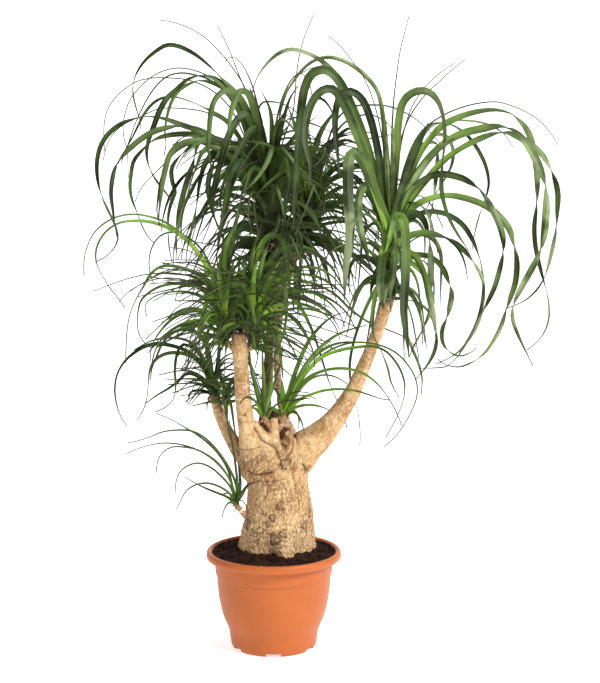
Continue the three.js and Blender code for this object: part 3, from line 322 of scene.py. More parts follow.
CROWN_UPPER_LEFT_SEEN = [
    [16, 47, 330, -50, 264, 190, 258, 150, 249, 120, 236, 93, 222, 78, 207, 63, 192, 52, 178, 46, 167, 45,
     155, 52, 145, 61, 137, 73, 133, 86, 134, 99, 137, 111, 140, 121, 141, 131],
    [4, 0, 0, 40, 265, 185, 258, 130, 247, 92, 232, 67, 218, 50, 203, 36, 187, 27, 172, 22, 159, 20],
    [3, 0, 0, -20, 265, 185, 257, 125, 247, 95, 237, 70, 228, 47, 217, 25],
    [4, 0, 0, 100, 268, 185, 285, 135, 293, 112, 295, 95, 297, 70, 301, 48, 307, 30, 314, 14],
    [6, 20, 0, 20, 266, 180, 263, 135, 255, 95, 248, 75, 241, 63, 234, 57, 228, 58, 225, 62],
    [18, 57, 330, -60, 263, 195, 253, 150, 240, 112, 226, 88, 213, 77, 200, 75, 187, 79, 176, 89, 166, 99,
     159, 112, 154, 126, 149, 140, 147, 152, 149, 165, 155, 178, 163, 189, 171, 200, 176, 208],
    [17, 62, -330, -20, 265, 195, 252, 135, 240, 108, 228, 91, 214, 83, 200, 80, 188, 84, 178, 91, 171, 103,
     167, 117, 165, 131, 166, 145, 164, 156],
    [3.5, 0, 0, 50, 263, 195, 246, 130, 228, 92, 210, 77, 193, 70, 177, 68, 163, 71, 150, 78, 140, 87, 131,
     98, 126, 110, 123, 125, 124, 138, 127, 150, 128, 165, 128, 178],
    [3, 0, 0, 90, 263, 198, 246, 140, 228, 105, 208, 88, 188, 80, 170, 78, 153, 78, 138, 81, 126, 88, 115, 98,
     107, 111, 104, 126, 104, 142, 105, 153],
    [6, 20, 60, 20, 263, 195, 248, 135, 228, 96, 210, 80, 195, 75, 181, 73, 168, 76, 158, 84, 149, 96, 142,
     109, 136, 122, 131, 136, 126, 150, 121, 163],
    [14, 52, 204, -10, 263, 200, 247, 150, 228, 122, 212, 111, 195, 103, 178, 97, 164, 97, 153, 103, 144, 114,
     138, 126, 131, 140, 124, 152, 118, 164],
    [3, 0, 0, 60, 263, 200, 245, 150, 225, 122, 205, 112, 188, 109, 172, 108, 158, 109, 146, 114, 135, 119,
     123, 125, 113, 134, 107, 145, 103, 161],
    [17, 57, 400, -90, 262, 205, 244, 170, 228, 150, 213, 137, 197, 130, 180, 124, 164, 118, 148, 116, 134,
     118, 121, 123, 110, 132, 102, 143, 98, 155, 97, 170, 99, 185, 103, 198, 109, 212, 115, 225, 118, 238,
     114, 248, 105, 257, 95, 262],
    [18, 57, 442, -130, 262, 208, 244, 178, 228, 152, 213, 138, 198, 130, 183, 127, 168, 128, 153, 132, 141,
     139, 130, 148, 121, 157, 115, 167, 112, 180, 111, 195, 113, 210, 115, 226, 117, 237],
    [17, 57, -374, -60, 262, 210, 246, 185, 230, 158, 213, 142, 197, 135, 181, 134, 166, 136, 153, 141, 143,
     150, 134, 161, 131, 175, 130, 188, 132, 200, 137, 213, 142, 226, 148, 237, 154, 243],
    [6, 20, 0, 30, 262, 212, 245, 180, 228, 157, 213, 148, 199, 143, 187, 145, 176, 152, 167, 161, 157, 171,
     148, 180, 140, 190, 135, 202],
    [17, 62, 306, -20, 262, 205, 245, 170, 228, 148, 212, 139, 199, 141, 187, 150, 178, 159, 172, 168, 172,
     180, 175, 192, 171, 203, 168, 217, 168, 232, 169, 247, 172, 262],
    [18, 72, 40, -140, 264, 190, 256, 140, 247, 110, 237, 94, 227, 90, 219, 94, 213, 103, 210, 117, 209, 132,
     208, 147, 210, 162, 213, 177],
    [20, 72, -30, -160, 264, 190, 260, 140, 254, 110, 247, 92, 240, 91, 235, 100, 231, 113, 229, 127, 229,
     143],
    [22, 74, 60, -210, 265, 195, 263, 150, 256, 120, 247, 113, 239, 118, 231, 131, 225, 147, 221, 162, 217,
     177, 213, 192, 206, 207, 200, 218, 191, 229],
    [17, 62, 170, -170, 262, 205, 244, 170, 229, 152, 214, 145, 203, 152, 197, 167, 191, 183, 186, 200, 181,
     217, 177, 234, 174, 250, 173, 266],
    [15, 62, -204, -100, 262, 208, 245, 172, 225, 150, 205, 142, 190, 143, 178, 149, 169, 158, 163, 170, 160,
     184, 158, 199, 157, 213, 160, 225],
    [9, 42, 60, 0, 268, 188, 273, 150, 278, 115, 285, 92, 293, 78, 300, 73, 307, 79, 311, 90, 313, 106],
    [3, 0, 0, 60, 268, 188, 277, 130, 285, 98, 294, 80, 305, 71, 317, 67, 328, 69],
    [9, 42, 40, 20, 266, 188, 262, 140, 258, 112, 262, 103, 273, 102, 285, 105, 296, 112, 305, 122, 310, 133],
    [20, 72, 0, -20, 266, 188, 264, 150, 258, 115, 250, 88],
    [18, 67, 10, -40, 266, 190, 270, 155, 277, 128, 287, 108],
    [21, 72, 30, -190, 264, 200, 252, 170, 243, 160, 236, 168, 230, 185, 226, 205, 222, 225, 217, 246],
    [18, 67, -60, -180, 266, 195, 274, 165, 282, 152, 288, 160, 290, 178, 286, 200, 279, 222, 272, 240],
    [18, 70, 60, -200, 266, 190, 262, 150, 255, 127, 245, 140, 231, 167, 221, 195, 222, 216],
    [15, 70, 0, -180, 268, 185, 271, 160, 272, 147, 268, 160, 257, 178, 243, 193],
    [18, 68, 320, -120, 264, 200, 240, 160, 215, 138, 200, 140, 192, 165, 183, 195, 178, 220, 176, 260],
    [17, 68, 100, -150, 264, 205, 245, 172, 222, 150, 206, 148, 194, 172, 186, 200, 181, 218],
    [16, 66, 200, -60, 264, 205, 240, 165, 215, 142, 195, 135, 178, 140, 167, 160, 161, 183, 159, 218],
    [19, 76, 30, -110, 262, 206, 244, 174, 226, 152, 208, 142, 190, 141, 177, 146, 169, 156, 165, 171, 162,
     187, 160, 203, 158, 219],
    [16, 74, 60, -60, 264, 200, 246, 168, 232, 150, 216, 142, 203, 142, 191, 148, 182, 158, 176, 169],
    [17, 66, 30, -60, 268, 190, 276, 150, 283, 120, 290, 98, 298, 86],
    [18, 66, 260, -150, 264, 198, 250, 165, 236, 148, 222, 150, 212, 166, 208, 186, 211, 206, 217, 226],
    [17, 66, -240, -130, 264, 200, 250, 170, 234, 152, 217, 150, 205, 164, 199, 184, 196, 206, 192, 228, 187,
     250, 186, 262],
    [17, 62, 220, -90, 263, 202, 246, 172, 228, 156, 212, 158, 202, 172, 192, 190, 184, 206, 181, 226, 182,
     244],
    [16, 66, -200, -170, 265, 200, 256, 172, 245, 160, 234, 170, 226, 190, 217, 208, 209, 222, 199, 236],
    [15, 62, 240, -40, 262, 206, 244, 178, 224, 160, 206, 158, 192, 168, 180, 180, 170, 196, 164, 214, 161,
     232],
    [16, 66, 200, -190, 266, 200, 262, 176, 254, 168, 246, 182, 240, 204, 236, 224, 230, 244],
    [15, 64, -220, -120, 264, 204, 248, 180, 232, 170, 220, 178, 214, 196, 215, 216, 222, 236, 226, 250],
    [17, 66, -30, -40, 268, 190, 272, 140, 270, 110, 262, 92],
    [16, 66, 20, -80, 268, 190, 282, 155, 298, 132, 314, 118],
    [16, 66, 60, -100, 268, 195, 285, 165, 305, 148, 322, 150, 333, 168],
]
CROWN_BACK_SEEN = [
    [11, 52, 60, -60, 309, 205, 303, 160, 305, 118, 312, 100, 321, 98, 330, 107, 335, 122, 335, 138, 330, 153,
     325, 169],
    [5, 20, 0, 60, 311, 200, 325, 150, 338, 118, 352, 107, 370, 105, 387, 106, 402, 111, 417, 120, 431, 133,
     443, 147],
    [6, 20, 0, 80, 311, 200, 328, 150, 342, 125, 358, 116, 372, 115, 386, 122, 397, 134],
    [15, 57, 40, -10, 311, 215, 330, 180, 352, 175, 366, 190, 378, 215, 388, 240],
    [13, 57, 40, 10, 310, 230, 322, 245, 340, 250, 356, 256, 368, 266, 378, 280, 384, 295],
    [16, 64, 20, 0, 308, 200, 312, 160, 322, 130, 335, 112, 344, 102],
    [16, 64, 20, 0, 310, 200, 320, 165, 335, 140, 350, 128, 360, 136],
    [14, 64, 20, 20, 306, 200, 303, 160, 296, 128, 287, 104],
    [14, 64, -20, 40, 308, 200, 305, 165, 298, 138, 290, 112],
    [15, 64, 0, 20, 310, 205, 318, 175, 330, 150, 346, 140, 364, 148],
    [14, 64, 0, 60, 312, 205, 325, 178, 340, 165, 357, 165, 374, 180],
    [15, 60, 30, 40, 312, 210, 330, 196, 348, 200, 362, 214, 370, 232],
]
CROWN_MIDDLE_LEFT_SEEN = [
    [11, 52, 60, -130, 224, 308, 218, 290, 207, 268, 195, 250, 181, 236, 166, 227, 150, 222, 135, 221, 120,
     223, 108, 230, 100, 240, 96, 252, 97, 264, 102, 275, 110, 288, 118, 298, 125, 308],
    [8, 47, 40, -20, 224, 306, 219, 284, 207, 262, 193, 245, 178, 231, 163, 221, 148, 216, 132, 214, 116, 217,
     103, 224, 93, 234, 87, 247, 84, 261, 84, 276],
    [9, 57, 80, -190, 224, 312, 214, 290, 203, 280, 188, 270, 172, 266, 160, 267, 150, 275, 144, 286, 136,
     300, 130, 315, 127, 332, 126, 350, 126, 363],
    [16, 72, 20, -120, 226, 305, 225, 285, 226, 262, 233, 240, 243, 226, 257, 220, 270, 222, 281, 229, 288,
     240, 294, 248],
    [4, 10, 0, 60, 224, 312, 212, 290, 192, 277, 172, 273, 150, 274, 130, 278, 112, 284, 94, 291],
    [9, 52, 60, -60, 224, 318, 207, 300, 188, 292, 168, 292, 153, 297, 145, 305, 147, 317],
    [10, 52, 60, -120, 225, 322, 213, 314, 198, 311, 182, 314, 170, 321, 160, 332, 152, 346, 150, 361],
    [6, 30, 60, 30, 224, 312, 213, 275, 202, 250, 187, 237, 172, 232, 160, 236, 152, 247, 149, 260, 150, 273,
     154, 284],
    [9, 47, 40, -170, 225, 315, 210, 295, 195, 286, 178, 284, 162, 286, 150, 292, 141, 301, 138, 315, 138,
     330, 143, 341, 151, 348],
    [4, 10, 0, 20, 224, 312, 205, 292, 188, 281, 170, 278, 152, 280, 138, 286, 127, 293, 119, 302],
    [10, 57, 60, -100, 224, 325, 210, 320, 193, 321, 178, 326, 165, 335, 156, 348, 152, 362, 151, 376],
    [16, 77, 20, -200, 226, 305, 234, 285, 244, 285, 250, 300, 254, 318, 256, 335],
    [15, 72, -20, -160, 224, 303, 222, 270, 226, 245, 234, 228, 240, 215],
    [13, 72, 30, -200, 225, 308, 217, 295, 208, 300, 203, 315, 200, 332, 199, 348],
    [14, 76, 10, -240, 225, 312, 221, 288, 220, 264, 224, 242],
    [14, 76, 10, -250, 226, 316, 222, 296, 219, 276, 217, 258],
    [13, 76, -10, -260, 227, 318, 226, 298, 229, 276, 236, 256],
    [13, 70, -10, -150, 226, 312, 228, 286, 229, 264, 232, 240],
    [12, 66, 20, -190, 225, 312, 217, 292, 212, 272, 206, 256],
    [12, 66, 20, -130, 226, 312, 233, 294, 238, 276, 240, 258],
    [10, 60, 40, -120, 226, 316, 236, 305, 243, 290, 247, 272],
    [9, 66, 0, -120, 226, 320, 232, 316, 238, 320, 242, 329],
    [9, 66, 0, -130, 227, 316, 236, 309, 244, 314, 248, 326],
    [8, 66, 0, -120, 225, 322, 226, 330, 225, 340, 222, 350],
    [13, 74, 0, -120, 227, 324, 234, 316, 242, 315, 249, 321, 254, 333],
    [12, 74, 0, -110, 228, 326, 235, 320, 239, 300, 238, 280],
    [11, 74, 0, -115, 228, 328, 234, 325, 240, 327, 244, 334],
]
CROWN_MIDDLE_RIGHT_SEEN = [
    [16, 72, 30, -180, 254, 312, 252, 290, 253, 270, 258, 252, 266, 238, 274, 234, 281, 239, 286, 250, 288,
     265, 289, 282, 292, 297, 294, 311],
    [13, 72, 60, -240, 254, 316, 253, 295, 257, 277, 264, 266, 272, 263, 279, 268, 284, 282, 286, 300, 286,
     318, 282, 338, 275, 355, 270, 371],
    [15, 67, 20, -60, 255, 308, 262, 280, 272, 258, 285, 247, 298, 246, 312, 250, 326, 259],
    [10, 52, 40, -40, 256, 315, 268, 300, 283, 292, 300, 290, 316, 294, 330, 303, 340, 315, 345, 327],
    [10, 52, 40, -100, 256, 318, 270, 308, 288, 303, 306, 305, 322, 312, 334, 324, 340, 339],
    [9, 47, 0, 20, 256, 312, 266, 290, 282, 278, 300, 274, 318, 277, 334, 286, 347, 300, 355, 316],
    [9, 47, 0, 40, 256, 305, 263, 275, 272, 255, 283, 243, 296, 238, 310, 241, 323, 251],
    [10, 52, 80, -20, 256, 312, 275, 290, 295, 300, 310, 325, 320, 352, 328, 378, 336, 398, 343, 413, 347,
     428],
    [9, 42, 0, 60, 256, 310, 272, 288, 292, 280, 314, 284, 334, 294, 350, 309, 368, 322, 388, 330, 404, 337,
     416, 347],
    [13, 72, 20, -110, 254, 308, 250, 280, 252, 255, 258, 235, 262, 222],
    [15, 72, -20, -130, 254, 308, 261, 280, 268, 262, 276, 250],
    [12, 64, 30, -60, 256, 312, 266, 292, 281, 276, 298, 268, 316, 268, 332, 276, 344, 290],
    [12, 64, -20, -90, 256, 316, 268, 304, 284, 297, 300, 298, 316, 304, 330, 314, 340, 330],
    [12, 64, 20, -120, 256, 310, 264, 286, 276, 266, 292, 254, 308, 252, 322, 258, 334, 268],
    [11, 60, 60, -30, 256, 308, 262, 282, 270, 262, 283, 250, 297, 250, 308, 258, 316, 272],
    [11, 60, -60, -140, 256, 320, 268, 312, 283, 312, 296, 320, 306, 334, 313, 350],
    [11, 60, 40, -10, 256, 314, 272, 300, 292, 292, 312, 292, 332, 300, 347, 313, 356, 330],
    [15, 60, 20, -150, 254, 316, 262, 323, 270, 326, 276, 334, 279, 347, 281, 362, 283, 379],
    [15, 76, 10, -250, 255, 312, 257, 286, 262, 262, 270, 240],
    [14, 76, 10, -260, 254, 316, 253, 296, 254, 276, 258, 256],
    [13, 76, -10, -250, 256, 318, 262, 298, 272, 280, 284, 266],
    [15, 72, -10, -170, 254, 312, 252, 286, 252, 262, 256, 238],
    [14, 70, 20, -180, 256, 312, 265, 288, 275, 268, 287, 250],
    [12, 66, 20, -150, 254, 312, 247, 292, 244, 272, 245, 254],
    [12, 66, 10, -160, 256, 314, 268, 296, 281, 281, 295, 270],
    [9, 66, 0, -120, 253, 320, 246, 314, 239, 317, 234, 327],
    [9, 66, 0, -130, 255, 322, 253, 332, 254, 344, 258, 356],
    [9, 66, 0, -140, 256, 320, 262, 330, 265, 345, 266, 362],
    [13, 74, 0, -120, 252, 324, 245, 317, 237, 317, 231, 323, 226, 334],
    [12, 74, 0, -110, 252, 326, 244, 320, 242, 300, 245, 280],
    [11, 74, 0, -115, 252, 328, 246, 325, 240, 326, 235, 333],
]
CROWN_LOWER_LEFT_SEEN = [
    [11, 47, 40, 10, 213, 392, 207, 372, 198, 360, 186, 351, 172, 346, 157, 344, 144, 347, 133, 354, 123, 364,
     117, 376, 115, 390, 117, 405, 121, 417, 127, 426],
    [10, 52, 60, 60, 213, 390, 205, 370, 195, 358, 181, 353, 168, 353, 157, 358, 150, 368, 148, 382, 147, 396,
     144, 408, 137, 420],
    [11, 57, 40, -30, 214, 385, 210, 358, 204, 340, 194, 331, 183, 329, 172, 333, 163, 342, 157, 355, 152,
     368, 150, 380],
    [10, 52, 40, -20, 213, 392, 205, 383, 196, 375, 186, 374, 178, 382, 168, 389, 156, 396, 145, 404],
    [8, 42, 0, 40, 213, 396, 203, 391, 194, 391, 189, 394, 189, 400],
    [9, 52, 60, -60, 212, 382, 196, 350, 182, 345, 177, 355, 175, 372, 176, 385, 174, 398, 166, 407, 155,
     412],
    [8, 42, 0, 90, 213, 385, 205, 360, 192, 343, 178, 338, 163, 338, 148, 342, 134, 350],
    [10, 62, 20, 0, 213, 388, 208, 360, 207, 335, 212, 315],
    [10, 62, 20, 20, 214, 388, 218, 362, 219, 340, 216, 322],
]
TUFT_LOWER_LEFT_SEEN = [
    [6, 30, 40, -20, 225, 402, 228, 396, 231, 405, 233, 418, 235, 432, 238, 441],
    [8, 42, 40, -10, 225, 402, 222, 395, 226, 408, 228, 424, 230, 440],
]
TUFT_CENTRE_LEFT_SEEN = [
    [8.6, 72, 10, -60, 264, 415, 258, 392, 252, 372, 246, 356],
    [9.4, 72, 10, -70, 265, 415, 264, 390, 263, 368, 262, 344],
    [8.6, 72, 10, -40, 266, 415, 270, 392, 272, 370, 272, 348],
    [5.8, 52, 20, -110, 263, 416, 255, 401, 249, 397, 243, 399, 240, 404],
    [5.8, 52, 20, -90, 262, 417, 254, 408, 248, 408, 245, 416],
    [8.6, 72, 10, -80, 263, 414, 255, 385, 250, 360, 250, 335],
]
TUFT_CENTRE_RIGHT_SEEN = [
    [11, 72, 10, -100, 285, 411, 291, 385, 299, 362, 307, 344, 316, 331, 326, 321, 336, 315, 345, 312],
    [10.6, 70, 10, -130, 285, 411, 295, 385, 308, 362, 322, 346, 337, 335, 352, 329, 367, 325],
    [8.4, 57, 60, -190, 286, 412, 298, 384, 310, 368, 322, 357, 340, 350, 357, 347, 373, 346, 386, 351, 396,
     362, 402, 373, 405, 385, 404, 398, 400, 410, 395, 421, 390, 430, 386, 437],
    [8.4, 57, 60, -170, 286, 413, 297, 390, 308, 378, 320, 372, 333, 369, 348, 369, 362, 373, 374, 381, 384,
     392, 392, 404, 398, 416, 402, 426],
    [7, 52, 0, -150, 286, 413, 300, 399, 312, 394, 326, 390, 341, 389, 357, 391, 370, 395, 382, 399, 390,
     400],
    [7, 57, 30, -110, 286, 412, 298, 392, 311, 379, 325, 375, 338, 378, 347, 384],
    [7.2, 52, 0, -90, 286, 414, 297, 407, 310, 405, 322, 407, 329, 410],
    [4.8, 30, 0, -60, 287, 414, 293, 410, 298, 415, 299, 424, 298, 430],
    [12.8, 72, 0, -50, 285, 411, 283, 397, 282, 380],
    [9.6, 62, 0, -70, 286, 411, 298, 380, 313, 358, 330, 346, 347, 342, 364, 343],
    [4.8, 30, 40, -130, 286, 412, 300, 380, 322, 355, 350, 343, 375, 344, 395, 352, 408, 365, 416, 380, 417,
     396, 411, 412, 402, 428, 393, 439, 384, 447],
]
TUFT_BASE_SEEN = [
    [5.8, 62, 20, -120, 240, 506, 236, 485, 228, 466, 217, 450, 205, 438, 192, 431, 178, 430, 162, 432, 147,
     438, 133, 442, 127, 443],
    [5.4, 62, 30, -90, 239, 506, 230, 480, 219, 465, 207, 455, 195, 449, 183, 447, 172, 447, 163, 452, 158,
     460, 156, 473],
    [4.6, 40, 0, -40, 239, 506, 229, 478, 216, 461, 200, 451, 183, 445, 165, 443, 150, 445, 137, 449, 126,
     454],
    [5.2, 62, 20, -150, 240, 505, 231, 488, 221, 476, 210, 467, 198, 463, 187, 466, 179, 473, 176, 482, 175,
     494],
    [5.2, 62, 20, -120, 239, 506, 229, 493, 218, 486, 207, 483, 195, 485, 186, 491, 181, 500, 176, 510],
    [5.4, 62, 0, -60, 239, 505, 229, 498, 215, 492, 205, 488, 195, 483, 185, 477],
    [6, 40, 0, -90, 240, 504, 237, 480, 234, 455, 231, 435, 229, 418],
    [5, 30, 0, -30, 240, 503, 228, 470, 215, 450, 200, 437, 186, 428, 170, 419, 156, 413],
    [8, 62, 0, -60, 241, 503, 240, 485, 238, 462],
    [6, 50, 0, -90, 241, 502, 243, 491, 249, 484, 259, 482],
    [6, 50, 0, -80, 241, 503, 242, 495, 247, 487],
]

# Heads of leaves on the ends of limbs. `column` and `girth` give the column of leaf bases, and `finish` the
# look of the leaves. `leaves` is how many are placed round it by the golden angle from `facing` on, oldest
# and lowest first, with draws from `seed`, between the lengths and widths given. `rise` and `fall` are the
# pitch of the oldest and the youngest leaf at its root and at its tip, and `shades` the tones between which
# the draws choose, kept low on the darker heads as partly their own tone and partly painted shade. `breadth`
# and `seen_shades`, where given, are the scale of the widths of the leaves in `seen` and their own tones,
# raised on the middle heads as partly painted light.
HEADS = {
    "crown_right": {
        "limb": "rightArm", "finish": "broad",
        "column": [[284, -61, 960], [291, -62, 1040], [293, -62, 1085]], "girth": [18, 20, 16, 8],
        "leaves": 28, "length": [220, 480], "width": [8, 15], "rise": [2, 80], "fall": [-88, -74],
        "facing": 0, "seed": 21, "shades": [0.15, 1.0], "seen": CROWN_RIGHT_SEEN,
    },
    "crown_upper_left": {
        "limb": "backStem",
        "column": [[-6, 60, 1060], [-10, 60, 1150], [-10, 58, 1225]], "girth": [26, 30, 26, 12],
        "leaves": 124, "length": [210, 520], "width": [6.5, 11.5], "rise": [4, 84], "fall": [-80, -30],
        "facing": 40, "seed": 34, "shades": [0.0, 0.45], "breadth": 0.88, "seen": CROWN_UPPER_LEFT_SEEN,
    },
    "crown_back": {
        "limb": "secondBackStem",
        "column": [[74, 111, 1060], [90, 112, 1125], [97, 112, 1180]], "girth": [24, 26, 21, 9],
        "leaves": 104, "length": [200, 500], "width": [7, 12], "rise": [-6, 84], "fall": [-66, 0],
        "facing": 70, "seed": 55, "shades": [0.05, 0.9], "seen": CROWN_BACK_SEEN,
    },
    "crown_middle_left": {
        "limb": "uprightLeftTip", "finish": "fresh_and_lit",
        "column": [[-116, -76, 820], [-121, -77, 850], [-121, -78, 880], [-120, -79, 900]],
        "girth": [7, 9, 14, 13, 6],
        "leaves": 104, "length": [180, 430], "width": [5, 8.5], "rise": [14, 84], "fall": [-50, -6],
        "facing": 190, "seed": 13, "shades": [0.0, 0.8], "seen_shades": [0.1, 1.15], "breadth": 0.94,
        "seen": CROWN_MIDDLE_LEFT_SEEN,
    },
    "crown_middle_right": {
        "limb": "uprightRightTip", "finish": "fresh_and_lit",
        "column": [[-50, -78, 812], [-44, -80, 838], [-44, -81, 866], [-45, -82, 888]],
        "girth": [7, 9, 14, 13, 6],
        "leaves": 108, "length": [200, 440], "width": [5, 8.5], "rise": [16, 84], "fall": [-38, 4],
        "facing": -30, "seed": 89, "shades": [0.0, 0.8], "seen_shades": [0.1, 1.15], "breadth": 0.94,
        "seen": CROWN_MIDDLE_RIGHT_SEEN,
    },
    "crown_lower_left": {
        "limb": "leftArm",
        "column": [[-153, 50, 655], [-155, 50, 675]], "girth": [13, 14, 7],
        "leaves": 34, "length": [100, 250], "width": [5, 7], "rise": [26, 84], "fall": [-40, 0],
        "facing": 200, "seed": 144, "shades": [0.0, 0.7], "seen": CROWN_LOWER_LEFT_SEEN,
    },
    "tuft_lower_left": {
        "limb": "leftSpur", "column": [[-120, 27, 645]], "girth": [8, 5],
        "leaves": 20, "length": [100, 220], "width": [5, 8], "rise": [26, 84], "fall": [-30, 10],
        "facing": -60, "seed": 233, "shades": [0.1, 0.7], "seen": TUFT_LOWER_LEFT_SEEN,
    },
    "tuft_centre_left": {
        "limb": "stubLeftSpur", "finish": "young", "column": [[-26, -40, 612]], "girth": [8, 5],
        "leaves": 7, "length": [140, 260], "width": [5, 8], "rise": [58, 86], "fall": [10, 70],
        "facing": 200, "seed": 377, "shades": [0.2, 1.0], "seen": TUFT_CENTRE_LEFT_SEEN,
    },
    "tuft_centre_right": {
        "limb": "stubRightSpur", "finish": "young", "column": [[29, -33, 622]], "girth": [9, 6],
        "leaves": 7, "length": [110, 230], "width": [6, 9], "rise": [36, 84], "fall": [-40, 30],
        "facing": -60, "seed": 610, "shades": [0.15, 1.0], "seen": TUFT_CENTRE_RIGHT_SEEN,
    },
    "tuft_base": {
        "limb": "baseSpur", "column": [[-94, -44, 392]], "girth": [7, 4],
        "leaves": 4, "length": [60, 120], "width": [5, 7], "rise": [30, 75], "fall": [-50, 0],
        "facing": 90, "seed": 987, "shades": [0.0, 0.4], "seen": TUFT_BASE_SEEN,
    },
}

GOLDEN_ANGLE = 137.508
LEAF = {
    # Spacing of the stations along a leaf, and the fewest and the most of them
    "step": 13, "fewest": 9, "most": 64,
    # Ripple of the blade in degrees, and its length
    "wave": 9, "wave_length": 28,
    # How much wider the clasping foot is, and over what length
    "clasp": 0.7, "clasp_length": 30,
    # The least half width
    "thinnest": 1.9,
    # How much a twisting blade dwells on its face
    "dwell": 0.3,
    # Power of the taper, that of leaves from a broad width on, and that of ruled leaves
    "taper": 3.4, "broad": 18, "broad_taper": 6, "ruled_taper": 2.2,
    # Where along a leaf its twist starts
    "twist_from": 0.35, "ruled_twist_from": 0.15,
    # Scale of the width of leaves followed in the photograph, and the lean of those under the fine width
    "seen_breadth": 1.08, "fine": 7, "fine_lean": 85,
    # Where a ruled leaf's bend starts and ends along it
    "bend_start": -0.05, "bend_end": (0.55, 1.15),
    # How deep a ruled leaf is rooted, and where on the column the oldest and the youngest are
    "sunk": 13, "low_root": 0.1, "top_root": 0.95,
    # The lowest tip, the age at which ruled leaves are longest, and how often one is drawn
    "lowest_tip": 292, "longest_age": 0.42, "tries": 14,
    "ruled_steps": 24,
}
# How far ruled leaves stray from their rule in degrees, at the first try and what the last adds
STRAY = {"azimuth": (32, 50), "rise": (18, 20), "fall": (20, 20)}
STRAY_SWEEP = 60
STRAY_ROLL = 75
# Most twist of a ruled leaf in degrees for each millimetre
STRAY_TWIST = 0.7
# Spaces before the bare arms that ruled leaves keep clear of, as two corners
CLEARINGS = [
    [(-108, -700, 600), (-48, -62, 834)],
    [(120, -700, 560), (300, -30, 800)],
]
# The swollen base as ruled leaves keep out of it: its middle in X, radius and top, and the gap to any limb
KEPT_BASE = {"middle": 12, "radius": 104, "top": 540}
WOOD_GAP = 3
# Samples along a column, and how many at its foot carry no leaf that is followed in the photograph
COLUMN_SAMPLES = 50
BARE_FOOT = 8
COLUMN_SIDES = 20
COLUMN_STEP = 6
# How far a column starts inside its limb, and how far past the limb's end its first point is
COLUMN_LAP = (6, 12)
# Height over which the foot of a column is dry
DRY_FOOT = 34
# Remains of old leaves at the foot of a column, with fewer on one that is slim
DRY_BASES = {
    "length": (10, 22), "width": (4, 7), "rise": (10, 60), "fall": (-70, 10), "foot": (2, 9),
    "stray": 30, "sweep": 10, "roll": 20, "twist": 60, "sunk": 5, "slim": 12, "few": 5, "many": 10,
    "full_girth": 20,
}


def smooth_share(value, low, high):
    share = np.clip((np.asarray(value, float) - low) / (high - low), 0, 1)
    return share * share * (3 - 2 * share)


def mix(first, second, share):
    return first + (second - first) * share


def bell(distance, width):
    """One in the middle, fading to nothing past the width."""
    return np.exp(-(distance / width) ** 2)


def level_direction(azimuth):
    return np.array([math.cos(math.radians(azimuth)), math.sin(math.radians(azimuth)), 0])


def spread(points, count):
    """Points evenly spread along a smooth curve through the points given."""
    points = np.asarray(points, float)
    padded = np.vstack([2 * points[0] - points[1], points, 2 * points[-1] - points[-2]])
    gaps = np.maximum(np.linalg.norm(np.diff(padded, axis=0), axis=1) ** 0.5, 1e-3)
    share = np.linspace(0, 1, 12, endpoint=False)[:, None]
    dense = []
    for i in range(len(points) - 1):
        p0, p1, p2, p3 = padded[i:i + 4]
        t0, t1, t2 = gaps[i:i + 3]
        leaving = ((p1 - p0) / t0 - (p2 - p0) / (t0 + t1) + (p2 - p1) / t1) * t1
        entering = ((p2 - p1) / t1 - (p3 - p1) / (t1 + t2) + (p3 - p2) / t2) * t1
        square = 3 * (p2 - p1) - 2 * leaving - entering
        cube = 2 * (p1 - p2) + leaving + entering
        dense.append(p1 + leaving * share + square * share ** 2 + cube * share ** 3)
    dense = np.vstack(dense + [points[-1:]])
    walked = np.concatenate([[0], np.cumsum(np.linalg.norm(np.diff(dense, axis=0), axis=1))])
    places = np.linspace(0, walked[-1], count)
    return np.stack([np.interp(places, walked, dense[:, axis]) for axis in range(points.shape[1])], axis=1)


def path_length(points):
    return float(np.linalg.norm(np.diff(np.asarray(points, float), axis=0), axis=1).sum())


def unit(vectors):
    vectors = np.asarray(vectors, float)
    return vectors / np.maximum(np.linalg.norm(vectors, axis=-1, keepdims=True), 1e-9)


def carried_sides(line, first_side):
    """The directions along a line, and a side direction carried along it without turning."""
    along = unit(np.gradient(line, axis=0))
    sides = np.empty_like(line)
    side = np.asarray(first_side, float)
    for i, forward in enumerate(along):
        side = side - forward * side.dot(forward)
        side = side / max(np.linalg.norm(side), 1e-9)
        sides[i] = side
    return along, sides


def values_along(values, shares):
    return np.interp(shares, np.linspace(0, 1, len(values)), values)


def seen_place(across, down, depth):
    """The place that the photograph shows at a pixel, at a depth in Y."""
    pitch = math.radians(CAMERA_PITCH)
    forward = np.array([0, math.cos(pitch), -math.sin(pitch)])
    upward = np.array([0, math.sin(pitch), math.cos(pitch)])
    ray = forward + upward * (PHOTO_HEIGHT / 2 - down) / FOCAL_PIXELS
    ray = ray + np.array([1, 0, 0]) * (across - PHOTO_WIDTH / 2) / FOCAL_PIXELS
    return np.array(CAMERA_PLACE) + ray * (depth - CAMERA_PLACE[1]) / ray[1]


def mesh_of(name, points, faces=(), edges=()):
    mesh = bpy.data.meshes.new(name)
    places = (np.asarray(points, float) * MM).tolist()
    mesh.from_pydata(places, [list(edge) for edge in edges], [list(face) for face in faces])
    mesh.update()
    return mesh


def set_attribute(mesh, name, values, kind="FLOAT"):
    field = "vector" if kind == "FLOAT_VECTOR" else "value"
    attribute = mesh.attributes.new(name, kind, "POINT")
    attribute.data.foreach_set(field, np.asarray(values, np.float32).ravel())


def read_vectors(entries, field):
    """One vector of each entry of a mesh, as the rows of an array."""
    values = np.empty(len(entries) * 3)
    entries.foreach_get(field, values)
    return values.reshape(-1, 3)


def place_in_scene(name, mesh):
    piece = bpy.data.objects.new(name, mesh)
    bpy.context.scene.collection.objects.link(piece)
    return piece


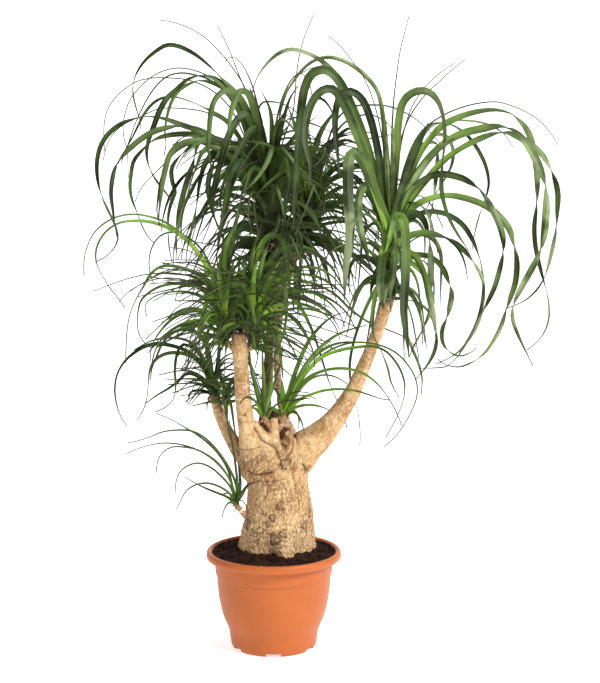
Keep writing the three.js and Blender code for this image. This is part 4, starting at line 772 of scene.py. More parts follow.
def settled(piece):
    """Replaces a piece's mesh by its evaluated one and removes its modifiers."""
    bpy.context.view_layer.update()
    depsgraph = bpy.context.evaluated_depsgraph_get()
    mesh = bpy.data.meshes.new_from_object(
        piece.evaluated_get(depsgraph), preserve_all_data_layers=True, depsgraph=depsgraph)
    piece.modifiers.clear()
    piece.data = mesh
    return piece


def grown(name, start, tree, values):
    """The piece that a geometry tree makes from a starting mesh, as a plain mesh."""
    piece = place_in_scene(name, start)
    modifier = piece.modifiers.new(tree.name, "NODES")
    modifier.node_group = tree
    for item in tree.interface.items_tree:
        if item.item_type == "SOCKET" and item.in_out == "INPUT" and item.name in values:
            modifier[item.identifier] = values[item.name]
    return settled(piece)


def joined(first, *others):
    """One object that holds the meshes of several."""
    with bpy.context.temp_override(active_object=first, selected_editable_objects=[first, *others]):
        bpy.ops.object.join()
    return first


def finish_piece(piece, slot, *nodes):
    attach(piece, "root")
    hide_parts(*nodes)


class Field:
    """One output socket of a node tree, with arithmetic."""

    def __init__(self, sheet, socket):
        self.sheet = sheet
        self.socket = socket

    def math(self, operation, *others, first=None):
        values = [self if first is None else first, *others]
        return self.sheet.node("ShaderNodeMath", {"operation": operation}, dict(enumerate(values)))

    def __add__(self, other):
        return self.math("ADD", other)

    __radd__ = __add__

    def __sub__(self, other):
        return self.math("SUBTRACT", other)

    def __rsub__(self, other):
        return self.math("SUBTRACT", self, first=other)

    def __mul__(self, other):
        return self.math("MULTIPLY", other)

    __rmul__ = __mul__

    def __abs__(self):
        return self.math("ABSOLUTE")

    def sine(self):
        return self.math("SINE")

    def smooth(self, low, high, start=0.0, end=1.0):
        """This value eased from `start` to `end` as it goes from `low` to `high`."""
        return self.sheet.node("ShaderNodeMapRange", {"interpolation_type": "SMOOTHSTEP"}, {
            "Value": self, "From Min": low, "From Max": high, "To Min": start, "To Max": end})


class NodeSheet:
    """A node tree that is written as expressions."""

    def __init__(self, tree):
        self.tree = tree

    def node(self, kind, settings, inputs, output=0):
        node = self.tree.nodes.new(kind)
        for name, value in settings.items():
            setattr(node, name, value)
        for place, value in inputs.items():
            socket = node.inputs[place]
            if isinstance(value, Field):
                self.tree.links.new(value.socket, socket)
            else:
                socket.default_value = value
        return Field(self, node.outputs[output])

    def stretched(self, vector, scale):
        return self.combined("MULTIPLY", vector, scale)

    def scaled(self, vector, amount):
        return self.node("ShaderNodeVectorMath", {"operation": "SCALE"}, {0: vector, "Scale": amount})

    def noise(self, vector, scale, detail=3.0, roughness=0.55, distortion=0.0, output=0):
        return self.node("ShaderNodeTexNoise", {}, {
            "Vector": vector, "Scale": scale, "Detail": detail, "Roughness": roughness,
            "Distortion": distortion}, output)

    def cells(self, vector, scale, feature="DISTANCE_TO_EDGE"):
        return self.node("ShaderNodeTexVoronoi", {"feature": feature}, {"Vector": vector, "Scale": scale})

    def component(self, vector, axis):
        return self.node("ShaderNodeSeparateXYZ", {}, {0: vector}, axis)

    def combined(self, operation, first, second):
        return self.node("ShaderNodeVectorMath", {"operation": operation}, {0: first, 1: second})


class Surface(NodeSheet):
    """A material's node tree, with the Principled shader that it feeds."""

    def __init__(self, name, roughness, specular=0.5):
        self.material = bpy.data.materials.new(name)
        self.material.use_nodes = True
        super().__init__(self.material.node_tree)
        self.shader = self.tree.nodes["Principled BSDF"]
        self.shader.inputs["Roughness"].default_value = roughness
        self.shader.inputs["Specular IOR Level"].default_value = specular
        self.place = self.node("ShaderNodeTexCoord", {}, {}, "Object")

    def attribute(self, name, output="Fac"):
        return self.node("ShaderNodeAttribute", {"attribute_name": name}, {}, output)

    def mixed(self, amount, first, second):
        """The first colour, turned into the second where the amount is 1."""
        colours = [c if isinstance(c, Field) else (*c[:3], 1.0) for c in (first, second)]
        return self.node("ShaderNodeMix", {"data_type": "RGBA"}, {0: amount, 6: colours[0], 7: colours[1]}, 2)

    def layered(self, colour, layers):
        """A colour with others laid over it, each given with its amount."""
        for amount, layer in layers:
            colour = self.mixed(amount, colour, layer)
        return colour

    def feed(self, socket, value):
        self.tree.links.new(value.socket, self.shader.inputs[socket])

    def bump(self, height, distance, strength=1.0):
        normal = self.node("ShaderNodeBump", {}, {
            "Height": height, "Distance": distance, "Strength": strength})
        self.feed("Normal", normal)


class Growth(NodeSheet):
    """A geometry tree with named inputs."""

    def __init__(self, name, inputs):
        tree = bpy.data.node_groups.new(name, "GeometryNodeTree")
        super().__init__(tree)
        for label, kind in {"Geometry": "NodeSocketGeometry", **inputs}.items():
            tree.interface.new_socket(label, in_out="INPUT", socket_type=kind)
        tree.interface.new_socket("Geometry", in_out="OUTPUT", socket_type="NodeSocketGeometry")
        self.entry = tree.nodes.new("NodeGroupInput")

    def given(self, label):
        return Field(self, self.entry.outputs[label])

    def attribute(self, name, kind="FLOAT"):
        return self.node("GeometryNodeInputNamedAttribute", {"data_type": kind}, {"Name": name})

    def store(self, geometry, name, value, kind="FLOAT"):
        return self.node("GeometryNodeStoreNamedAttribute", {"data_type": kind, "domain": "POINT"}, {
            "Geometry": geometry, "Name": name, "Value": value})

    def above(self, value, limit):
        return self.node("FunctionNodeCompare", {"operation": "GREATER_THAN"}, {0: value, 1: limit})

    def drawn_vector(self, low, high, seed):
        inputs = {0: low, 1: high, "Seed": seed}
        return self.node("FunctionNodeRandomValue", {"data_type": "FLOAT_VECTOR"}, inputs)

    def moved(self, geometry, offset):
        return self.node("GeometryNodeSetPosition", {}, {"Geometry": geometry, "Offset": offset})

    def finish(self, geometry):
        """Ends the tree in real meshes that carry the material given."""
        real = self.node("GeometryNodeRealizeInstances", {}, {"Geometry": geometry})
        shaded = self.node("GeometryNodeSetShadeSmooth", {}, {"Geometry": real, "Shade Smooth": True})
        dressed = self.node("GeometryNodeSetMaterial", {}, {
            "Geometry": shaded, "Material": self.given("Material")})
        leaving = self.tree.nodes.new("NodeGroupOutput")
        self.tree.links.new(dressed.socket, leaving.inputs["Geometry"])
        return self.tree


class PotSettings(bpy.types.PropertyGroup):
    colour: FloatVectorProperty(name="Colour", description="Colour of the moulded plastic", subtype="COLOR",
                                size=3, min=0, max=1, default=tint(179, 93, 40))
    roughness: FloatProperty(name="Roughness", description="Roughness of the plastic", min=0, max=1,
                             default=0.46, subtype="FACTOR")


class SoilSettings(bpy.types.PropertyGroup):
    colour: FloatVectorProperty(name="Colour", description="Colour of the damp soil", subtype="COLOR", size=3,
                                min=0, max=1, default=tint(46, 27, 20))
    crumbs: FloatProperty(name="Crumbs", description="Crumbs for each square metre of soil", min=0,
                          default=42000)
    crumb_size: FloatProperty(name="Crumb Size", description="Radius of the largest crumbs", min=0.0005,
                              default=0.0044, subtype="DISTANCE", unit="LENGTH")


class BarkSettings(bpy.types.PropertyGroup):
    colour: FloatVectorProperty(name="Colour", description="Colour of the old bark", subtype="COLOR", size=3,
                                min=0, max=1, default=tint(206, 166, 114))
    relief: FloatProperty(name="Relief", description="Depth of the wrinkles in the bark", min=0,
                          default=0.0030, subtype="DISTANCE", unit="LENGTH")


class LeafSettings(bpy.types.PropertyGroup):
    colour: FloatVectorProperty(name="Colour", description="Colour of the grown leaves", subtype="COLOR",
                                size=3, min=0, max=1, default=tint(48, 70, 16))
    broad_colour: FloatVectorProperty(name="Broad Colour", description="Colour of the broadest leaves",
                                      subtype="COLOR", size=3, min=0, max=1, default=tint(54, 72, 26))
    fresh_and_lit_colour: FloatVectorProperty(name="Fresh Colour", description="Colour of the fresh green leaves",
                                      subtype="COLOR", size=3, min=0, max=1, default=tint(66, 94, 22))
    young_colour: FloatVectorProperty(name="Young Colour", description="Colour of the young leaves",
                                      subtype="COLOR", size=3, min=0, max=1, default=tint(66, 98, 16))
    thickness: FloatProperty(name="Thickness", description="Thickness of a blade's edges", min=0.0001,
                             default=0.0008, subtype="DISTANCE", unit="LENGTH")
    channel: FloatProperty(name="Channel", description="Depth of a blade's channel as a share of its width",
                           min=0, max=1, default=0.25, subtype="FACTOR")


class PalmSettings(bpy.types.PropertyGroup):
    pot: PointerProperty(type=PotSettings)
    soil: PointerProperty(type=SoilSettings)
    bark: PointerProperty(type=BarkSettings)
    leaf: PointerProperty(type=LeafSettings)


# Finishes

def pot_finish(settings):
    surface = Surface("Moulded terracotta plastic", settings.roughness, 0.28)
    cloud = surface.noise(surface.place, 9.0, 2.0)
    speck = surface.noise(surface.place, 900.0, 2.0, 0.7)
    flow = surface.noise(surface.stretched(surface.place, (30, 30, 4)), 1.0, 3.0)
    deep = tuple(c * 0.96 for c in settings.colour)
    pale = tuple(min(1.0, c * 1.03 + 0.002) for c in settings.colour)
    colour = surface.mixed(cloud.smooth(0.3, 0.7), deep, pale)
    colour = surface.mixed(speck.smooth(0.58, 0.75) * 0.06, colour, tint(224, 150, 96))
    surface.feed("Base Color", colour)
    surface.feed("Roughness", cloud * 0.10 + speck * 0.08 + (settings.roughness - 0.1))
    surface.bump(speck * 0.4 + flow * 0.6, 0.0005, 0.2)
    return surface.material


def soil_finish(settings):
    surface = Surface("Damp potting soil", 0.95, 0.12)
    grain = surface.noise(surface.place, 420.0, 4.0, 0.7)
    patch = surface.noise(surface.place, 38.0, 3.0)
    fibre = surface.cells(surface.place, 260.0, "F1")
    dark = tuple(c * 0.22 for c in settings.colour)
    colour = surface.mixed(patch.smooth(0.42, 0.58), dark, settings.colour)
    surface.feed("Base Color", surface.layered(colour, [
        (grain.smooth(0.54, 0.68) * 0.75, tint(96, 64, 44)),
        (fibre.smooth(0.2, 0.06) * 0.8, tint(150, 118, 92)),
    ]))
    surface.bump(grain * 0.7 + fibre * 0.3, 0.0015, 0.8)
    return surface.material


def bark_finish(settings):
    surface = Surface("Corky bark", 0.85, 0.3)
    grain = surface.attribute("grain", "Vector")
    arm = surface.attribute("arm")
    low = surface.component(surface.place, 2).smooth(0.40, 0.30)
    patch = surface.noise(surface.place, 18.0, 5.0, 0.65)
    shift = surface.noise(surface.place, 60.0, 2.0, 0.5, output="Color")
    warped = surface.combined("ADD", grain, surface.scaled(shift, 0.014))
    streak = surface.noise(surface.stretched(warped, (200, 200, 120)), 1.0, 5.0, 0.75)
    grit = surface.noise(surface.place, 420.0, 3.0, 0.75)
    fleck = surface.noise(surface.stretched(warped, (46, 46, 170)), 1.0, 4.0, 0.7)
    flake = surface.cells(surface.stretched(warped, (105, 105, 70)), 1.0)
    mottle = surface.noise(surface.stretched(warped, (150, 150, 60)), 1.0, 4.0, 0.7)
    rough = patch.smooth(0.44, 0.58) * 0.6 + low * 0.45
    split = flake.smooth(0.20, 0.03) * patch.smooth(0.40, 0.56)
    broad = surface.noise(surface.place, 11.0, 2.0)
    old = surface.mixed(broad.smooth(0.38, 0.62), tint(184, 142, 92), settings.colour)
    old = surface.layered(old, [
        (mottle.smooth(0.50, 0.36) * 0.55, tint(138, 98, 58)),
        (mottle.smooth(0.52, 0.64) * 0.55, tint(236, 202, 152)),
        (surface.attribute("stain") * 0.85, tint(136, 90, 50)),
        # Pale on the raised streaks of the bump: partly the bark's own colour, partly a painted highlight
        (streak.smooth(0.52, 0.60) * (rough * 0.5 + 0.4), tint(252, 228, 188)),
        (streak.smooth(0.47, 0.39) * (rough * 0.5 + 0.45), tint(96, 64, 36)),
        (grit.smooth(0.46, 0.36) * (rough * 0.4 + 0.3), tint(92, 60, 36)),
        (split * (rough * 0.4 + 0.1), tint(80, 52, 32)),
        (low * grit.smooth(0.52, 0.62) * 0.5, tint(240, 206, 176)),
        (surface.attribute("moss") * streak.smooth(0.6, 0.42) * 0.8, tint(112, 104, 70)),
    ])
    smooth_arm = surface.mixed(patch.smooth(0.34, 0.66), tint(172, 128, 80), tint(210, 174, 126))
    smooth_arm = surface.layered(smooth_arm, [
        (mottle.smooth(0.48, 0.36) * 0.5, tint(142, 98, 58)),
        (mottle.smooth(0.54, 0.64) * 0.4, tint(246, 226, 194)),
        # Pale on the raised flecks of the bump: partly the bark's own colour, partly a painted highlight
        (fleck.smooth(0.55, 0.66) * 0.5, tint(246, 228, 200)),
        (fleck.smooth(0.44, 0.34) * 0.6, tint(132, 86, 50)),
        (grit.smooth(0.44, 0.34) * 0.35, tint(126, 82, 48)),
    ])
    dark_stem = surface.mixed(streak.smooth(0.4, 0.65), tint(62, 42, 30), tint(132, 94, 64))
    reddish = surface.mixed(fleck.smooth(0.42, 0.64), tint(176, 134, 102), tint(236, 204, 172))
    surface.feed("Base Color", surface.layered(old, [
        (arm, smooth_arm),
        (surface.attribute("stem"), dark_stem),
        (surface.attribute("shoot"), reddish),
        # Dark rings of the knots, and painted shade in their grooves, along the folds and in the hollows
        (surface.attribute("knot_rings_and_painted_shade"), tint(58, 36, 22)),
    ]))
    uneven = streak * 0.5 + grit * 0.3 + flake.smooth(0.0, 0.2) * 0.3 * (1 - arm) + fleck * arm * 0.35
    surface.bump(uneven, 0.0032, 0.9)
    return surface.material


def leaf_finish(name, colour, base_colour, roughness, painted_sheen):
    """The skin of a leaf. Its last argument is how much painted sheen the far part of some leaves carries, a
    pale grey-green painted highlight.
    """
    surface = Surface(name, roughness, 0.2)
    along = surface.attribute("along")
    across = surface.attribute("across")
    upper = surface.attribute("upper")
    tone = surface.attribute("tone")
    dry = surface.attribute("dry")
    fresh_and_lit = surface.attribute("fresh_and_lit")
    chance = (tone * 57.3).math("FRACT")
    patch = surface.noise(surface.place, 15.0, 2.0)
    vein = (across * 34).sine()
    fine = surface.noise(surface.stretched(surface.place, (500, 500, 90)), 1.0, 2.0)
    narrow = surface.attribute("half_width").smooth(0.0036, 0.0018)
    dark = tuple(c * share for c, share in zip(colour, (0.12, 0.105, 0.12)))
    light = tuple(min(1.0, c * 3.0 + 0.014) for c in colour)
    skin = surface.mixed(tone * 0.62 + (patch.smooth(0.36, 0.64) - 0.5) * 0.5 + 0.12, dark, light)
    root = surface.mixed(tone.smooth(0.1, 0.8) * 0.88 + 0.12, dark, base_colour)
    under = upper.smooth(0.15, -0.15)
    far = along.smooth(0.34, 0.62)
    # Painted sheen: pale grey-green on the far part, on the underside and on the upper side of some leaves
    pale = far * (under * 0.6 + (1 - under) * chance.smooth(0.6, 0.9) * 0.8) * patch.smooth(0.35, 0.6)
    shaded_half = (across * (chance.smooth(0.45, 0.55) * 2 - 1)).smooth(-0.35, 0.35)
    straw = surface.mixed(fine.smooth(0.4, 0.6), tint(150, 108, 68), tint(208, 174, 128))
    surface.feed("Base Color", surface.layered(skin, [
        (vein.smooth(0.2, 1.0) * 0.15, light),
        # Pale green base: the young leaves' own colour, taken from old leaves and columns as painted shade of
        # the heart
        (along.smooth(0.46, 0.02) * fresh_and_lit * 0.9, root),
        # Painted shade on the upper side of the far part of some leaves, so a twist shows a dark face next to
        # a pale one
        (far * (1 - under) * chance.smooth(0.75, 0.4) * 0.6, dark),
        # The painted sheen
        (pale * painted_sheen * (fresh_and_lit * 0.75 + 0.25), tint(150, 162, 122)),
        (under * (1 - painted_sheen) * 0.45, tint(104, 124, 66)),
        (shaded_half * 0.3, dark),
        (abs(across).smooth(0.16, 0.03) * 0.15, tint(124, 160, 62)),
        (along.smooth(0.84, 1.0) * 0.85, tint(52, 46, 36)),
        (narrow * 0.75, tint(46, 50, 28)),
        (dry, straw),
    ]))
    surface.feed("Roughness", dry * 0.35 + fine * 0.12 + (roughness - 0.06))
    surface.bump(vein * 0.6 + fine * 0.4, 0.0004, 0.35)
    return surface.material


# Pot

def ring_faces(first, second, sides):
    """Faces between two rings of points that start at these numbers."""
    return [[first + i, first + (i + 1) % sides, second + (i + 1) % sides, second + i] for i in range(sides)]


def closed_rings(points, sides, start, end):
    """Points and faces of stacked rings, closed to a point at both ends."""
    count = len(points) // sides
    faces = []
    for ring in range(count - 1):
        faces += ring_faces(ring * sides, (ring + 1) * sides, sides)
    first = len(points)
    last = (count - 1) * sides
    for i in range(sides):
        after = (i + 1) % sides
        faces.append([first, after, i])
        faces.append([first + 1, last + i, last + after])
    return points + [start, end], faces


def turned(outline, sides):
    """Points and faces of an outline turned about Z, closed at both ends on the axis."""
    angles = np.linspace(0, 2 * math.pi, sides, endpoint=False)
    points = []
    for radius, height in outline:
        points += [[radius * math.cos(a), radius * math.sin(a), height] for a in angles]
    return closed_rings(points, sides, [0, 0, outline[0][1]], [0, 0, outline[-1][1]])


def cutter(points, faces):
    return place_in_scene("cutter", mesh_of("cutter", points, faces))


def box_cutter(size, start, turn):
    length, width, height = size
    cosine, sine = math.cos(turn), math.sin(turn)
    corners = []
    for z in (-height / 2, height / 2):
        for x, y in ((start, -width / 2), (start + length, -width / 2), (start + length, width / 2),
                     (start, width / 2)):
            corners.append([x * cosine - y * sine, x * sine + y * cosine, z])
    faces = [[3, 2, 1, 0], [4, 5, 6, 7], [0, 1, 5, 4], [1, 2, 6, 5], [2, 3, 7, 6], [3, 0, 4, 7]]
    return cutter(corners, faces)


def drain_cutter(turn):
    points, faces = turned([[DRAIN_RADIUS, height] for height in DRAIN_SPAN], DRAIN_SIDES)
    middle = [DRAIN_PLACE * math.cos(turn), DRAIN_PLACE * math.sin(turn), 0]
    return cutter(np.asarray(points) + middle, faces)


def dense_outline(stretches, step):
    """An outline of smooth stretches with an edge between them, with points evenly along each."""
    points = []
    for stretch in stretches:
        points += spread(stretch, max(len(stretch), int(path_length(stretch) / step))).tolist()
    return points


def build_pot(settings):
    outline = dense_outline(POT_OUTSIDE, OUTSIDE_STEP) + dense_outline(POT_INSIDE, INSIDE_STEP)
    points, faces = turned(outline, POT_SIDES)
    pot = place_in_scene("plastic_pot", mesh_of("plastic_pot", points, faces))
    cutters = []
    for i in range(FOOT_CHANNELS):
        turn = math.radians(-90 + 360 / FOOT_CHANNELS * i)
        cutters += [box_cutter(CHANNEL_SIZE, CHANNEL_START, turn), drain_cutter(turn)]
    for tool in cutters:
        cut = pot.modifiers.new("cut", "BOOLEAN")
        cut.operation = "DIFFERENCE"
        cut.solver = "EXACT"
        cut.object = tool
    settled(pot)
    for tool in cutters:
        bpy.data.objects.remove(tool)
    pot.data.materials.clear()
    pot.data.materials.append(pot_finish(settings))
    pot.data.shade_smooth()
    pot.data.set_sharp_from_angle(angle=math.radians(SHARP_TURN))
    finish_piece(pot, "pot", "pot")


# Soil

def soil_tree():
    growth = Growth("Soil crumbs", {
        "Crumbs": "NodeSocketFloat", "Crumb Size": "NodeSocketFloat", "Seed": "NodeSocketInt",
        "Material": "NodeSocketMaterial"})
    place = growth.node("GeometryNodeInputPosition", {}, {})
    normal = growth.node("GeometryNodeInputNormal", {}, {})
    facing = growth.component(normal, 2)
    top = facing.smooth(0.5, 0.9)
    lumps = growth.noise(place, 55.0, 4.0, 0.6) - 0.5
    grit = growth.noise(place, 260.0, 2.0, 0.6) - 0.5
    offset = growth.node("ShaderNodeCombineXYZ", {}, {2: (lumps * 0.011 + grit * 0.004) * top})
    ground = growth.moved(growth.given("Geometry"), offset)
    points = growth.node("GeometryNodeDistributePointsOnFaces", {"distribute_method": "RANDOM"}, {
        "Mesh": ground, "Selection": growth.above(facing, 0.6), "Density": growth.given("Crumbs"),
        "Seed": growth.given("Seed")})
    crumb = growth.node("GeometryNodeMeshIcoSphere", {}, {"Radius": 1.0, "Subdivisions": 1})
    size = growth.node("FunctionNodeRandomValue", {"data_type": "FLOAT"}, {
        "Min": 0.16, "Max": 1.0, "Seed": 3}, 1)
    size = size * size * growth.given("Crumb Size")
    shape = growth.drawn_vector((0.6, 0.5, 0.4), (1.5, 1.2, 0.9), 5)
    turn = growth.drawn_vector((0, 0, 0), (6.28, 6.28, 6.28), 8)
    crumbs = growth.node("GeometryNodeInstanceOnPoints", {}, {
        "Points": points, "Instance": crumb, "Rotation": turn, "Scale": growth.scaled(shape, size)})
    real = growth.node("GeometryNodeRealizeInstances", {}, {"Geometry": crumbs})
    shift = growth.noise(place, 500.0, 1.0, 0.5, output="Color")
    shift = growth.combined("SUBTRACT", shift, (0.5, 0.5, 0.5))
    rough = growth.moved(real, growth.scaled(shift, 0.0022))
    both = growth.node("GeometryNodeJoinGeometry", {}, {})
    for part in (ground, rough):
        growth.tree.links.new(part.socket, both.socket.node.inputs[0])
    return growth.finish(both)


def build_soil(settings):
    outline = [*SOIL_SIDE]
    for radius in np.arange(SOIL_RADIUS - 2, SOIL_MIDDLE, -SOIL_RING):
        outline.append([radius, SOIL_TOP + SOIL_MOUND * (1 - float(smooth_share(radius, *MOUND_REACH)))])
    points, faces = turned(outline, SOIL_SIDES)
    tree = soil_tree()
    soil = grown("potting_soil", mesh_of("potting_soil", points, faces), tree, {
        "Crumbs": settings.crumbs, "Crumb Size": settings.crumb_size, "Seed": SOIL_SEED,
        "Material": soil_finish(settings)})
    finish_piece(soil, "soil", "soil")


# Trunk

def angle_between(first, second):
    return np.arctan2(np.sin(first - second), np.cos(first - second))


def base_radius(angles, height, radius):
    """Radii of the swollen base round one height."""
    if height < SOIL_LINE - PLAIN_FOOT:
        return np.full_like(angles, radius)
    proud = 1.2 * np.sin(3 * angles + 0.8) + 1.0 * np.sin(5 * angles + height / 40)
    for turn, level, reach, size in ROOT_LOBES:
        arc = angle_between(angles, math.radians(turn)) * radius
        proud = proud + size * np.exp(-(arc ** 2 + ((height - level) * 0.8) ** 2) / reach ** 2)
    return radius + proud


def swollen_base():
    """Points and faces of the base, closed at both ends."""
    rows = spread(BASE, BASE_ROWS)
    angles = np.linspace(0, 2 * math.pi, BASE_SIDES, endpoint=False)
    points = []
    for height, middle, radius in rows:
        reach = base_radius(angles, height, radius)
        flat = FRONT_FLATTENING * (1 - float(smooth_share(height, *FLATTENED)))
        depth = BASE_DEPTH - flat * (np.sin(angles) < 0)
        ring = np.stack([middle + reach * np.cos(angles), reach * depth * np.sin(angles),
                         np.full_like(angles, height)], axis=1)
        points += ring.tolist()
    start, end = rows[0], rows[-1]
    return closed_rings(points, BASE_SIDES, [start[1], 0, start[0]], [end[1], 0, end[0] + 2])


def tube(path, radii, sides, step):
    """Points and faces of a limb, with its radii along it and rounded ends."""
    count = max(5, int(path_length(path) / step))
    line = spread(path, count)
    shares = np.linspace(0, 1, count)
    reach = values_along(radii, shares)
    along, across = carried_sides(line, (0, 1, 0))
    upward = np.cross(along, across)
    angles = np.linspace(0, 2 * math.pi, sides, endpoint=False)
    points = []
    for i in range(count):
        round_it = np.cos(angles)[:, None] * across[i] + np.sin(angles)[:, None] * upward[i]
        points += (line[i] + reach[i] * round_it).tolist()
    start = (line[0] - along[0] * reach[0] * 0.3).tolist()
    end = (line[-1] + along[-1] * reach[-1] * 0.25).tolist()
    return closed_rings(points, sides, start, end)


def merged(parts):
    """Points and faces of several parts in one list."""
    points = []
    faces = []
    for part_points, part_faces in parts:
        shift = len(points)
        points += list(part_points)
        faces += [[corner + shift for corner in face] for face in part_faces]
    return points, faces


def limb_axes():
    """Fine samples of each limb's axis: its kind, points, radii, directions and sides."""
    axes = []
    for kind, path, radii in LIMBS.values():
        line = spread(path, max(8, int(path_length(path) / AXIS_STEP)))
        along, across = carried_sides(line, (0, 1, 0))
        axes.append((kind, line, values_along(radii, np.linspace(0, 1, len(line))), along, across))
    return axes


def wood_fields(places):
    """For each place on the trunk: its kind of bark, and where it is along the grain of its limb."""
    count = len(places)
    kinds = np.zeros(count, int)
    mean, sway, sway_length = GRAIN_MIDDLE
    middles = np.array([mean + sway * math.sin(z / sway_length) for z in places[:, 2]])
    grain = np.stack([places[:, 0] - middles, places[:, 1], places[:, 2]], axis=1)
    heights = np.array([row[0] for row in BASE])
    radii = np.interp(places[:, 2], heights, [row[2] for row in BASE], right=0)
    shifts = np.interp(places[:, 2], heights, [row[1] for row in BASE])
    best = np.abs(np.hypot(places[:, 0] - shifts, places[:, 1] / BASE_DEPTH) - radii)
    best[places[:, 2] > heights[-1]] = FAR_AWAY
    rows = np.arange(count)
    for number, (kind, line, reach, along, across) in enumerate(limb_axes()):
        offsets = places[:, None, :] - line[None, :, :]
        distances = np.linalg.norm(offsets, axis=2)
        nearest = np.argmin(distances, axis=1)
        gap = np.abs(distances[rows, nearest] - reach[nearest]) + BASE_LEAD
        closer = gap < best
        offset = offsets[rows, nearest]
        upward = np.cross(along, across)
        local = np.stack([
            np.einsum("ij,ij->i", offset, across[nearest]), np.einsum("ij,ij->i", offset, upward[nearest]),
            nearest * path_length(line) / len(line) + np.einsum("ij,ij->i", offset, along[nearest])
            + GRAIN_SHIFT * number], axis=1)
        best = np.where(closer, gap, best)
        kinds = np.where(closer, kind, kinds)
        grain = np.where(closer[:, None], local, grain)
    return kinds, grain


def evened(mesh, values, rounds):
    """Values at the points of a mesh, averaged with those of their neighbours."""
    edges = np.empty(len(mesh.edges) * 2, int)
    mesh.edges.foreach_get("vertices", edges)
    edges = edges.reshape(-1, 2)
    weight = np.bincount(edges.ravel(), minlength=len(mesh.vertices)).astype(float)
    for _ in range(rounds):
        total = np.bincount(edges[:, 0], values[edges[:, 1]], len(weight))
        total += np.bincount(edges[:, 1], values[edges[:, 0]], len(weight))
        values = 0.5 * values + 0.5 * total / np.maximum(weight, 1)
    return values


def bark_marks(places):
    """How far knots, folds and hollows raise or sink each place; how dark they are painted, partly the knots'
    own colour and partly painted shade; and how green and brown.
    """
    raised = np.zeros(len(places))
    dark = np.zeros(len(places))
    heights = [row[0] for row in BASE]
    middles = np.interp(places[:, 2], heights, [row[1] for row in BASE])
    radii = np.interp(places[:, 2], heights, [row[2] for row in BASE])
    angles = np.arctan2(places[:, 1] / BASE_DEPTH, places[:, 0] - middles)
    on_base = places[:, 2] < BASE_MARKS_TOP
    for turn, level, size, proud in KNOTS:
        arc = angle_between(angles, math.radians(turn)) * radii
        away = np.hypot(arc, (places[:, 2] - level) * 0.9) / size
        round_it = np.arctan2(places[:, 2] - level, arc)
        away = away * (1 + 0.16 * np.sin(3 * round_it + level) + 0.08 * np.sin(7 * round_it))
        groove = bell(away - 0.95, 0.34)
        rim = bell(away - 1.45, 0.28)
        pit = bell(away, 0.4)
        raised += on_base * proud * (0.7 * rim - groove - 0.6 * pit + 0.4 * bell(away, 1.8))
        # Painted dark in the groove and pit: partly the knot's own colour, partly painted shade that is
        # deeper on one side
        shade = 0.76 + 0.24 * np.sin(round_it - 2.0)
        dark = np.maximum(dark, on_base * np.maximum(shade * groove, 0.6 * pit))
    for middle, radius in HOLLOWS:
        # Each hollow is sunk and gets painted shade
        near = bell(np.linalg.norm(places - np.array(middle), axis=1), radius)
        dark = np.maximum(dark, 0.9 * near)
        raised -= 4 * near
    front = (places[:, 1] < FOLDS_FRONT) & (places[:, 2] < FOLDS_TOP)
    for depth, width, points in FOLDS:
        line = spread(points, 60)
        gaps = np.hypot(places[:, 0, None] - line[None, :, 0], places[:, 2, None] - line[None, :, 1])
        away = np.min(gaps, axis=1)
        raised -= depth * (bell(away, width) * front)
        # Painted shade along the fold
        dark = np.maximum(dark, 0.85 * bell(away, width * 0.55) * front)
    spots = []
    for table in (PATCHES, STAINS):
        spot = np.zeros(len(places))
        for turn, level, size in table:
            arc = angle_between(angles, math.radians(turn)) * radii
            spot = np.maximum(spot, on_base * bell(np.hypot(arc, places[:, 2] - level), size))
        spots.append(spot)
    return raised, dark, *spots


def bark_tree():
    growth = Growth("Bark relief", {"Relief": "NodeSocketFloat", "Material": "NodeSocketMaterial"})
    place = growth.node("GeometryNodeInputPosition", {}, {})
    grain = growth.attribute("grain", "FLOAT_VECTOR")
    arm = growth.attribute("arm")
    normal = growth.node("GeometryNodeInputNormal", {}, {})
    low = growth.component(place, 2).smooth(0.40, 0.28)
    wrinkles = growth.noise(growth.stretched(grain, (110, 110, 30)), 1.0, 4.0, 0.65, 0.7) - 0.5
    lumps = growth.noise(place, 30.0, 3.0, 0.55) - 0.5
    crust = growth.noise(place, 120.0, 3.0, 0.65) - 0.5
    rings = growth.noise(growth.stretched(grain, (14, 14, 120)), 1.0, 3.0, 0.6) - 0.5
    old = wrinkles * (low * 1.6 + 1.5) + lumps * 2.2 + crust * (low * 2.2 + 0.9)
    smooth_bark = wrinkles * 0.6 + rings * 0.9 + lumps * 0.8 + crust * 0.3
    height = (old * (1 - arm) + smooth_bark * arm) * growth.given("Relief")
    relief = growth.moved(growth.given("Geometry"), growth.scaled(normal, height))
    return growth.finish(relief)


